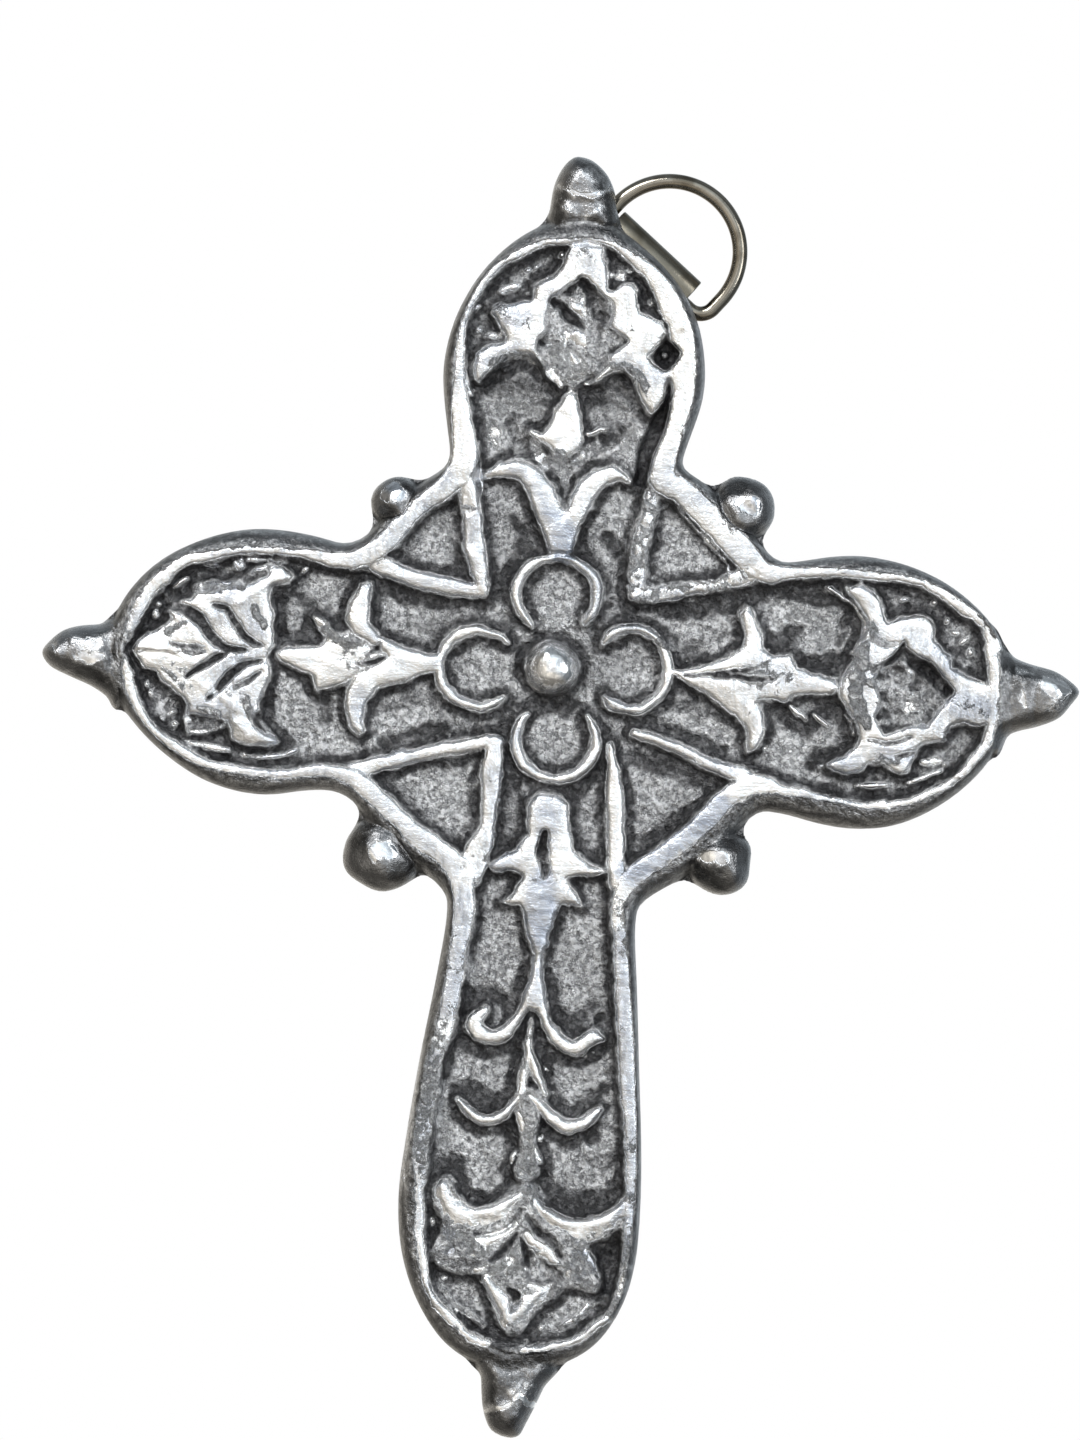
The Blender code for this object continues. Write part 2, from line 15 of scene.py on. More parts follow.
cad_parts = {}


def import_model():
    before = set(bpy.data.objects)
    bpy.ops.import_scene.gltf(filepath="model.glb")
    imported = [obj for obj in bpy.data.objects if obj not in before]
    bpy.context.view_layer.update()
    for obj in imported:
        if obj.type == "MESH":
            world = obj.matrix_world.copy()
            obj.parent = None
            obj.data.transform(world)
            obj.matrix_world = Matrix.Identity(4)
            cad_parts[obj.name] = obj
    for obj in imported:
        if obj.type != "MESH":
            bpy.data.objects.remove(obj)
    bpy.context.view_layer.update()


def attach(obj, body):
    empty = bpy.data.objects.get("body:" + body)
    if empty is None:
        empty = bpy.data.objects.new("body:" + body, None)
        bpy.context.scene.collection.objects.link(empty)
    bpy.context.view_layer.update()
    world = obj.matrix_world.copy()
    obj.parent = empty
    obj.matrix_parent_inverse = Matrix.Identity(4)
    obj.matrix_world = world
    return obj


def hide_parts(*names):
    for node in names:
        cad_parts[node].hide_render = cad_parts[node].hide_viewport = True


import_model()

MM = 0.001
STEP = 0.2  # pitch of the raster
XS = np.arange(-68.4, 70.8, STEP)
ZS = np.arange(-100.8, 69.6, STEP)
GRID_X, GRID_Z = np.meshgrid(XS, ZS, indexing="ij")
WHOLE = (slice(0, len(XS)), slice(0, len(ZS)))
REACH = 7.0  # how far from an edge the distances over the whole raster are worked out
OUTLINE_STEP = 0.8  # pitch of the points along the outline and the rim
RELIEF_FACES = 168000  # triangles of the front
BACK_PITCH = 1.0  # pitch of the points on the back
BACK_MARGIN = 1.6  # from the outline to the nearest of them

# heights above the back face
GROUND = 3.3
EDGE = 0.45
RIM_TOP = 5.4
BAR_TOP = 5.0
PETAL_TOP = 4.9
BOSS_TOP = 6.9

WALL_FOOT = 0.3  # raised work starts this far below the ground
FINIAL_RISE = 4.8  # a finial's top above its edge
FINIAL_ROUND = 2.6  # width of a finial's rounded side
KNOB_FILLET = 2.4  # rounding where a knob meets the outline
CHIP_REACH = 2.5  # a chip is worked out this far round its middle

# ---------------------------------------------------------------- outline of the casting

TOP_ARM = (
    (14.9, 27.4), (15.9, 30.8), (17.5, 36.5), (17.5, 41.5), (16.2, 46.8), (13.3, 51.6),
    (9.0, 55.6), (4.6, 58.4), (0.6, 59.4), (-3.2, 58.4), (-7.5, 55.9), (-11.5, 51.8),
    (-14.4, 46.6), (-15.8, 41.5), (-16.0, 37.0), (-15.1, 31.0), (-14.5, 27.8),
)
LEFT_ARM = (
    (-27.0, 15.3), (-31.0, 16.3), (-35.5, 16.9), (-40.0, 16.8), (-45.0, 15.5), (-50.3, 12.8),
    (-54.2, 9.1), (-56.6, 4.7), (-57.1, -0.6), (-56.0, -5.3), (-53.4, -8.9), (-50.0, -12.1),
    (-45.0, -15.3), (-40.0, -16.9), (-35.5, -17.2), (-31.0, -16.4), (-27.0, -16.1),
)
BOTTOM_ARM = (
    (-12.0, -28.4), (-11.9, -32.0), (-12.9, -40.0), (-14.4, -50.0), (-15.6, -60.0),
    (-16.2, -68.0), (-15.4, -75.1), (-13.1, -81.2), (-9.4, -86.3), (-4.8, -89.0),
    (0.2, -90.0), (5.0, -88.8), (9.9, -85.9), (13.2, -80.8), (14.7, -75.0), (15.0, -68.0),
    (14.7, -60.0), (13.9, -50.0), (13.1, -40.0), (12.4, -32.0), (12.7, -28.4),
)
RIGHT_ARM = (
    (27.4, -15.8), (31.0, -16.2), (35.5, -17.2), (40.0, -17.6), (45.0, -16.9), (50.0, -14.5),
    (54.5, -10.8), (57.5, -6.4), (58.6, 0.0), (58.2, 5.2), (56.1, 9.7), (51.4, 13.8),
    (45.8, 16.4), (40.0, 17.5), (35.5, 17.3), (31.5, 16.5), (28.0, 15.9),
)
RING_CENTRE = (0.5, 0.4)
# the ring between the arms: first and last angle, radius
RING_ARCS = ((120.0, 148.0, 30.0), (214.0, 242.0, 30.8), (-62.0, -34.0, 31.0),
             (34.0, 59.0, 31.0))

# x, z, radius, height, then the painted highlight patch: x, z, half width, half height
KNOBS = (
    (-21.1, 21.1, 3.55, 5.6, (-21.0, 22.2, 1.6, 1.3)),
    (23.2, 22.5, 4.3, 6.0, (24.2, 23.2, 1.8, 1.2)),
    (-20.5, -24.1, 4.9, 6.2, (-20.6, -23.4, 2.0, 1.4)),
    (22.6, -22.6, 4.45, 6.1, (22.2, -22.3, 2.2, 0.8)),
)

# top, left, right and bottom finial
FINIALS = (
    ((-3.4, 57.0), (-3.4, 60.4), (-3.0, 63.2), (-2.0, 65.5), (-0.7, 66.8), (0.4, 66.9),
     (1.9, 66.4), (3.6, 64.9), (4.7, 62.8), (5.1, 60.6), (5.3, 57.8), (0.8, 54.0)),
    ((-55.6, 4.5), (-58.5, 3.6), (-60.8, 3.3), (-63.0, 2.6), (-64.7, 1.2), (-65.7, -0.4),
     (-64.6, -2.1), (-62.0, -3.3), (-59.2, -4.4), (-57.2, -5.6), (-55.4, -7.0), (-52.0, -0.8)),
    ((55.8, 8.4), (57.6, 7.0), (59.2, 5.6), (61.4, 4.8), (64.4, 4.1), (66.3, 3.1), (67.9, 1.6),
     (66.9, -0.2), (65.4, -2.0), (62.8, -3.2), (60.4, -3.9), (58.9, -4.7), (57.2, -7.0),
     (53.0, 0.2)),
    ((-5.2, -88.0), (-4.4, -90.4), (-4.1, -93.4), (-3.6, -95.6), (-2.6, -97.4), (-0.6, -98.2),
     (0.9, -97.9), (1.7, -96.4), (2.8, -94.0), (3.8, -91.6), (5.4, -88.2), (0.2, -84.0)),
)

# strokes of wear and soot, some of them painted highlight and painted shade: polish, rise, then x,
# z, half width
TONES = (
    # top finial
    (0.95, 0.15, ((-2.5, 62.9, 0.1), (-0.4, 62.1, 0.22), (1.6, 61.7, 0.22), (3.4, 62.3, 0.3),
                  (4.3, 63.0, 0.1))),
    (0.25, 0.0, ((-0.6, 64.2, 0.6), (1.4, 64.4, 1.0), (2.8, 63.6, 0.5))),
    (0.75, 0.1, ((1.0, 59.0, 0.2), (2.0, 59.6, 0.4), (3.6, 60.4, 0.3))),
    (0.6, 0.1, ((-2.0, 60.4, 0.15), (-0.8, 60.0, 0.3), (0.2, 59.2, 0.15))),
    (0.05, -0.2, ((-2.6, 61.8, 0.2), (0.4, 60.8, 0.3), (3.0, 61.0, 0.2))),
    (0.1, 0.0, ((-7.0, 55.8, 0.4), (-3.0, 57.0, 0.7), (0.8, 57.5, 0.8), (4.6, 56.8, 0.7),
                (8.0, 55.0, 0.5))),
    (0.75, 0.0, ((-0.6, 55.6, 0.4), (1.4, 55.8, 0.6), (3.0, 55.2, 0.4))),
    # top leaf and bud
    (0.12, -0.25, ((1.0, 50.8, 0.4), (2.4, 48.8, 1.3), (3.8, 46.8, 1.3), (3.6, 44.6, 1.0))),
    (0.9, 0.2, ((1.2, 49.2, 0.1), (1.3, 48.2, 0.2), (1.2, 47.0, 0.1))),
    (0.22, 0.0, ((3.2, 43.4, 1.2), (3.6, 41.0, 1.3), (2.8, 38.8, 0.6))),
    # the next three strokes are painted shade under the top leaf's lower edge, in a slight dip
    (0.1, -0.2, ((-10.6, 37.2, 0.6), (-8.4, 39.2, 0.9), (-5.6, 39.8, 1.0), (-3.6, 38.8, 0.7))),
    (0.1, -0.1, ((-9.8, 35.6, 0.7), (-6.4, 36.8, 1.3), (-3.4, 36.6, 0.8))),
    (0.15, -0.2, ((3.6, 37.4, 0.6), (6.4, 38.2, 1.0), (8.8, 36.4, 0.8), (9.4, 33.8, 0.5))),
    (0.55, 0.1, ((-9.6, 33.8, 0.6), (-6.6, 34.4, 0.9), (-3.4, 33.6, 0.7))),
    (0.7, 0.1, ((-9.4, 31.6, 0.7), (-9.0, 30.0, 1.1), (-8.8, 29.0, 0.6))),
    (0.25, -0.25, ((-6.8, 31.6, 0.6), (-5.4, 30.6, 0.9), (-5.8, 29.2, 0.7))),
    (0.5, 0.1, ((3.8, 34.2, 0.5), (6.0, 34.6, 0.6), (8.2, 33.4, 0.5))),
    (0.55, 0.1, ((8.6, 32.0, 0.6), (8.4, 30.0, 0.8), (6.8, 28.8, 0.5))),
    (0.2, -0.25, ((3.4, 32.4, 0.4), (5.6, 32.6, 0.6), (6.8, 31.2, 0.6), (5.4, 29.8, 0.5))),
    (0.3, 0.0, ((-2.0, 46.6, 0.6), (-1.8, 44.6, 1.0))),
    (0.3, 0.1, ((5.0, 44.2, 0.4), (6.4, 43.4, 0.8))),
    (0.62, 0.1, ((-1.8, 42.0, 1.0), (0.4, 40.4, 1.5), (1.6, 38.8, 1.0), (0.6, 37.4, 0.4))),
    (0.05, -0.5, ((-1.9, 48.2, 0.15), (-0.6, 47.2, 0.35), (0.6, 46.0, 0.3), (1.6, 45.0, 0.12))),
    (0.55, 0.2, ((-1.0, 28.4, 0.9), (0.2, 26.8, 1.1), (0.4, 24.6, 0.7), (0.4, 23.0, 0.3))),
    (0.62, 0.2, ((-4.0, 30.2, 0.6), (-3.4, 28.6, 0.9), (-2.2, 26.8, 0.7))),
    (0.62, 0.2, ((1.6, 27.6, 0.7), (2.6, 28.8, 0.9), (4.0, 29.8, 0.5))),
    (0.74, 0.0, ((-9.4, 46.8, 0.8), (-7.6, 45.6, 1.2), (-5.6, 45.2, 1.0))),
    (0.5, -0.1, ((-10.4, 39.6, 0.4), (-7.4, 41.0, 0.6), (-4.6, 40.4, 0.5))),
    (0.5, -0.1, ((5.6, 40.2, 0.4), (8.0, 40.2, 0.6), (9.6, 38.6, 0.6), (10.4, 36.6, 0.3))),
    (0.76, 0.0, ((0.0, 53.0, 0.6), (1.6, 54.4, 1.0), (2.4, 53.4, 0.6))),
    # right leaf and its heart
    (0.52, 0.0, ((40.0, 6.4, 0.5), (39.6, 3.8, 1.1), (38.8, 0.8, 1.0), (39.8, -2.4, 1.1),
                 (40.6, -4.2, 0.6))),
    (0.58, 0.1, ((41.6, 3.4, 0.3), (43.6, 2.6, 0.4), (45.4, 2.2, 0.2))),
    (0.62, 0.1, ((41.8, -1.2, 0.3), (44.0, -1.6, 0.5), (46.0, -1.2, 0.3))),
    (0.58, 0.1, ((42.6, -3.6, 0.3), (45.0, -3.2, 0.5), (47.4, -3.2, 0.3))),
    (0.4, 0.1, ((40.6, 1.2, 0.5), (43.4, 0.8, 0.8), (45.4, 0.4, 0.5))),
    (0.06, -0.4, ((45.6, 5.2, 0.4), (47.6, 3.4, 0.9), (49.8, 1.6, 0.9), (50.6, 0.0, 0.4))),
    (0.1, -0.2, ((41.0, 3.2, 0.3), (43.4, 4.4, 0.4), (44.8, 6.6, 0.2))),
    (0.6, 0.0, ((40.6, 8.6, 0.7), (41.4, 7.0, 0.8), (43.0, 6.6, 0.5))),
    (0.72, 0.0, ((51.0, -0.6, 0.4), (53.4, -1.0, 0.8), (55.8, -1.4, 0.7))),
    (0.5, 0.0, ((41.6, -9.0, 0.3), (43.4, -8.6, 0.5), (45.0, -8.8, 0.4))),
    (0.5, 0.1, ((30.8, 10.0, 0.8), (33.4, 9.2, 1.1), (34.4, 6.6, 1.1), (34.0, 5.2, 0.6))),
    (0.5, 0.1, ((28.0, -7.8, 0.5), (30.4, -8.0, 0.9), (32.0, -7.4, 0.6))),
    # outer sides: darker strokes, and low on the left rim's side a lighter stroke of wear and
    # painted light
    (0.08, 0.0, ((-56.0, 5.4, 0.4), (-53.6, 9.8, 0.7), (-49.0, 13.6, 0.8), (-42.0, 16.0, 0.6))),
    (0.08, 0.0, ((44.0, 16.8, 0.4), (50.0, 14.9, 0.7), (54.6, 11.7, 0.8), (57.4, 8.0, 0.5))),
    (0.08, 0.0, ((-14.8, -73.0, 0.5), (-13.8, -79.0, 0.7), (-11.0, -84.2, 0.8),
                 (-7.0, -87.2, 0.6))),
    (0.08, 0.0, ((14.2, -76.0, 0.4), (13.4, -80.4, 0.7), (11.0, -84.8, 0.8), (7.0, -87.6, 0.6))),
    (0.5, 0.0, ((-14.4, -46.0, 0.4), (-15.2, -56.0, 0.6), (-15.6, -66.0, 0.5))),
    (0.05, 0.0, ((17.4, 37.0, 0.3), (16.8, 32.6, 0.6), (16.0, 28.4, 0.5), (17.6, 25.9, 0.6),
                (20.4, 24.8, 0.4))),
    # ground of the arms
    (0.2, 0.0, ((-21.4, 6.2, 0.7), (-17.4, 5.8, 1.0), (-14.0, 6.0, 0.6))),
    (0.16, 0.0, ((13.6, 5.0, 0.6), (17.0, 4.8, 0.9), (21.6, 6.4, 0.8))),
    (0.14, 0.0, ((15.0, -2.6, 0.6), (18.6, -3.4, 0.9), (23.0, -4.6, 0.6))),
    (0.14, 0.0, ((-14.4, -3.4, 0.6), (-18.0, -4.0, 0.9), (-21.4, -5.0, 0.6))),
    (0.24, 0.0, ((0.4, -5.6, 1.0), (0.9, -9.0, 2.0))),
    (0.5, 0.1, ((-10.9, -52.4, 0.3), (-11.2, -55.0, 0.5), (-11.4, -58.0, 0.5))),
    (1.0, 0.1, ((-11.6, 27.6, 0.8), (-11.4, 24.6, 1.2), (-11.2, 22.0, 0.7))),
    # lower arm's ground
    (0.16, 0.0, ((5.6, -63.4, 1.4), (8.0, -63.0, 2.0), (10.4, -62.0, 1.2))),
    (0.2, 0.0, ((-6.4, -60.4, 0.7), (-3.6, -61.0, 0.8), (-4.6, -64.8, 0.9))),
    (0.5, 0.1, ((-10.2, -57.8, 0.5), (-10.8, -60.2, 0.8), (-10.0, -61.6, 0.6))),
    (0.5, 0.1, ((-9.0, -36.0, 0.3), (-8.2, -39.0, 0.8), (-6.0, -39.4, 1.0))),
    # left bud and leaf
    (0.5, 0.0, ((-29.6, 4.4, 0.4), (-28.0, 3.2, 0.7), (-25.8, 3.0, 0.7))),
    (0.5, -0.1, ((-45.4, 8.2, 0.5), (-43.0, 9.0, 0.8), (-40.4, 9.4, 0.7))),
    (1.0, 0.2, ((-41.6, 6.6, 0.2), (-39.0, 8.4, 0.5), (-36.6, 10.4, 0.6), (-34.8, 11.2, 0.4))),
    (0.45, -0.15, ((-38.6, 6.6, 0.5), (-37.4, 4.6, 0.5))),
    (0.55, -0.1, ((-49.6, 3.0, 0.5), (-47.4, 4.2, 0.5))),
    (1.0, 0.15, ((-52.6, 0.6, 0.4), (-49.6, 0.5, 0.8), (-46.4, -0.6, 0.5))),
    (0.55, -0.1, ((-49.8, -1.7, 0.4), (-47.4, -3.6, 0.5))),
    (1.0, 0.15, ((-45.4, -3.0, 0.2), (-42.4, -5.0, 0.5), (-39.8, -6.4, 0.4))),
    (0.35, -0.2, ((-45.0, -6.4, 0.4), (-42.6, -7.4, 0.5))),
    (1.0, 0.2, ((-40.0, -8.0, 0.4), (-38.4, -9.4, 0.5), (-36.2, -10.2, 0.4))),
    (0.5, -0.1, ((-38.8, -5.0, 0.4), (-38.4, -7.2, 0.4))),
    # left finial
    (0.7, 0.1, ((-61.4, 1.4, 0.5), (-59.8, 0.9, 0.9), (-58.4, 1.0, 0.8))),
    (0.8, 0.1, ((-61.2, -0.6, 0.3), (-59.4, -0.8, 0.8), (-57.8, -0.6, 0.5))),
    (0.95, 0.1, ((-64.2, 0.8, 0.12), (-63.8, 0.0, 0.25), (-64.0, -0.8, 0.1))),
    (0.05, -0.2, ((-62.6, 2.2, 0.25), (-62.5, 0.0, 0.3), (-62.6, -2.6, 0.25))),
    (0.05, -0.15, ((-57.0, 2.8, 0.3), (-56.8, 0.0, 0.3), (-57.0, -3.6, 0.3))),
    # right finial; its first stroke is a painted highlight on a slight rise
    (1.0, 0.1, ((63.2, 2.4, 0.7), (64.8, 1.8, 1.2), (66.2, 1.5, 0.6))),
    (0.55, 0.0, ((63.8, -0.6, 0.5), (65.0, 0.0, 0.9), (66.4, 0.8, 0.4))),
    (0.8, 0.1, ((60.6, 2.0, 0.12), (60.4, 0.6, 0.3), (60.8, -0.8, 0.15))),
    (0.6, 0.1, ((61.2, 3.6, 0.15), (60.0, 3.9, 0.3))),
    (0.05, -0.2, ((62.4, 4.0, 0.3), (62.0, 0.6, 0.35), (62.6, -3.2, 0.3))),
    (0.05, -0.1, ((59.2, 5.0, 0.3), (59.0, 0.0, 0.25), (59.4, -4.0, 0.3))),
    # bottom finial
    (1.0, 0.2, ((-3.6, -94.8, 0.15), (-2.2, -94.3, 0.38), (-0.8, -93.8, 0.3), (0.0, -93.0, 0.28),
                (0.8, -92.3, 0.35), (1.6, -93.2, 0.25), (2.6, -93.8, 0.38))),
    (0.12, 0.0, ((-2.4, -89.6, 0.4), (0.0, -89.8, 0.9), (2.6, -89.6, 0.4))),
    (0.5, 0.1, ((-0.6, -92.0, 0.3), (1.4, -91.5, 0.4), (2.8, -92.0, 0.2))),
    (0.02, -0.1, ((-3.6, -96.6, 0.6), (0.0, -96.8, 1.4), (1.6, -95.6, 0.5))),
    (0.03, 0.0, ((-6.0, -87.0, 0.5), (0.0, -88.0, 1.1), (6.0, -86.8, 0.5))),
    # bottom rim
    (0.05, -0.2, ((-3.4, -86.0, 0.3), (-1.4, -86.4, 0.9), (0.2, -86.2, 0.5))),
    (1.0, 0.2, ((-12.2, -78.4, 0.25), (-10.6, -81.4, 0.28), (-8.4, -83.8, 0.25),
                (-6.0, -85.5, 0.25), (-4.2, -86.2, 0.28), (-3.2, -85.8, 0.15))),
    (1.0, 0.2, ((11.6, -82.2, 0.3), (10.2, -83.0, 0.3), (8.4, -84.4, 0.22), (5.6, -85.4, 0.22),
                (2.6, -86.2, 0.3), (0.8, -86.5, 0.35), (1.0, -85.7, 0.2))),
    (0.45, 0.1, ((-10.0, -79.0, 0.5), (-9.0, -80.4, 0.5))),
    (0.5, 0.1, ((-8.2, -81.4, 0.3), (-6.4, -82.6, 0.4), (-4.4, -83.6, 0.3))),
    (0.5, 0.1, ((4.6, -83.7, 0.3), (6.6, -83.2, 0.4), (8.2, -82.0, 0.45), (9.6, -80.4, 0.2))),
    # bottom leaf
    (1.0, 0.15, ((-10.6, -65.9, 0.7), (-10.2, -67.2, 1.0), (-8.9, -68.9, 1.2), (-6.8, -70.0, 1.1),
                 (-4.8, -69.9, 1.0), (-2.8, -68.6, 0.7), (-1.2, -67.2, 0.3))),
    (1.0, 0.15, ((1.6, -67.6, 0.4), (4.0, -69.4, 0.8), (7.0, -70.4, 0.95), (9.8, -70.0, 0.95),
                 (12.2, -68.2, 0.8), (12.8, -66.2, 0.4))),
    (0.55, 0.1, ((-1.8, -66.2, 0.4), (0.4, -65.8, 0.7), (2.4, -66.6, 0.5))),
    (0.9, 0.1, ((-5.8, -72.8, 0.3), (-3.8, -72.6, 0.7), (-2.0, -71.4, 0.5), (-0.7, -70.0, 0.3))),
    (1.0, 0.15, ((0.4, -71.9, 0.3), (2.2, -73.0, 0.5), (4.6, -74.9, 0.35))),
    (0.66, 0.1, ((-3.6, -76.9, 0.5), (-2.0, -75.8, 0.7), (-1.0, -73.8, 0.3))),
    (0.35, -0.1, ((4.0, -79.2, 0.4), (6.0, -78.0, 0.5), (9.0, -78.0, 0.4))),
    (1.0, 0.15, ((-4.2, -77.4, 0.4), (-3.0, -79.8, 0.9), (-1.0, -82.3, 0.95), (0.9, -80.5, 0.8),
                 (3.0, -78.9, 0.6))),
    (0.6, 0.0, ((-10.2, -71.6, 0.6), (-8.6, -72.4, 1.1), (-7.0, -72.6, 0.6))),
    (0.12, -0.3, ((-11.4, -75.4, 0.4), (-8.6, -75.9, 0.7), (-5.4, -75.8, 0.5))),
    (0.3, -0.2, ((1.2, -74.6, 0.3), (2.6, -76.0, 0.7), (3.4, -77.4, 0.4))),
    (0.5, 0.0, ((6.8, -73.8, 0.5), (7.8, -76.0, 1.2), (8.4, -77.2, 0.6))),
    (0.95, 0.1, ((8.2, -73.0, 0.12), (9.4, -74.6, 0.2), (10.1, -76.4, 0.1))),
    (0.4, 0.0, ((-0.8, -83.6, 0.5), (-0.6, -84.6, 0.5))),
)

# painted shade on the uncoated metal: how cool and dull it is made there, 0 warm white to 1 blue
# grey, then x, z, half width
SHEENS = (
    (1.0, ((-1.6, 20.6, 0.4), (0.3, 19.2, 1.0), (0.4, 16.4, 1.4))),
    (0.65, ((-6.6, 26.2, 0.2), (-4.2, 24.8, 0.6), (-2.4, 22.0, 0.7))),
    (0.15, ((4.0, 24.6, 0.6), (6.2, 26.6, 0.7), (8.2, 25.4, 0.5))),
    (0.5, ((0.6, 54.6, 1.2), (2.6, 52.6, 0.8))),
    (0.65, ((-9.6, 45.6, 1.0), (-6.6, 46.2, 1.4))),
    (0.6, ((-11.0, 40.2, 0.8), (-7.0, 41.8, 0.8))),
    (0.55, ((6.4, 41.0, 0.8), (9.8, 39.6, 1.0), (12.6, 38.6, 0.6))),
    (0.1, ((6.6, 48.6, 1.2), (9.6, 45.2, 1.4))),
    (0.1, ((14.4, 32.0, 1.2), (15.2, 40.0, 1.4), (13.4, 48.4, 1.2))),
    (0.6, ((-16.6, 22.2, 0.4), (-20.0, 19.4, 0.4), (-24.0, 15.6, 0.5))),
    (0.2, ((-13.2, 29.0, 1.2), (-12.4, 25.0, 1.0))),
    (0.55, ((-21.6, -17.4, 0.6), (-17.0, -21.4, 0.9), (-12.0, -25.4, 1.2))),
    (0.95, ((22.4, -15.6, 1.0), (16.0, -21.0, 1.2), (11.4, -24.6, 1.4))),
    (0.7, ((-10.0, -29.0, 0.9), (-10.4, -36.0, 1.2), (-11.0, -43.0, 1.2))),
    (0.6, ((-13.0, -50.0, 1.2), (-13.8, -58.0, 1.6), (-13.8, -64.0, 1.4))),
    (1.0, ((0.4, -25.6, 0.8), (0.0, -29.0, 1.6), (0.0, -33.4, 1.0))),
    (0.7, ((0.4, -17.0, 1.4), (0.6, -22.0, 0.6))),
    (0.6, ((0.0, -37.0, 0.8), (0.0, -41.0, 1.3))),
    (0.1, ((-7.2, -45.4, 1.0), (-4.6, -47.0, 0.8))),
    (0.7, ((10.4, -33.0, 1.0), (11.4, -46.0, 1.2), (13.0, -60.0, 1.3), (13.6, -72.0, 1.2))),
    (0.4, ((57.6, 3.0, 1.2), (57.4, -3.0, 1.4), (55.6, -7.0, 1.0))),
    (0.8, ((52.6, -1.0, 1.4), (55.6, -1.4, 1.4))),
    (0.55, ((37.8, 1.0, 1.0), (39.6, 4.0, 1.2), (39.0, -4.0, 1.0))),
    (0.6, ((43.0, -7.4, 1.2), (46.0, -8.0, 1.0))),
    (0.55, ((27.0, 2.6, 0.8), (31.0, 1.4, 1.2))),
    (0.6, ((-24.6, -3.6, 1.0), (-24.8, -6.8, 0.8))),
    (0.6, ((-44.8, 4.6, 0.8), (-40.0, 5.8, 1.2), (-38.0, 3.4, 0.8))),
    (0.7, ((-43.4, 8.8, 0.8), (-38.6, 10.8, 0.8))),
    (0.65, ((-45.4, -6.8, 1.2), (-42.0, -7.0, 1.0))),
    (0.1, ((-52.0, 0.8, 1.0), (-48.0, 0.6, 1.4))),
    (0.7, ((-10.2, -73.0, 1.4), (-8.0, -74.6, 1.2))),
    (0.8, ((6.8, -73.6, 1.0), (8.4, -76.4, 1.2))),
)

# ---------------------------------------------------------------- rims, bars and petals

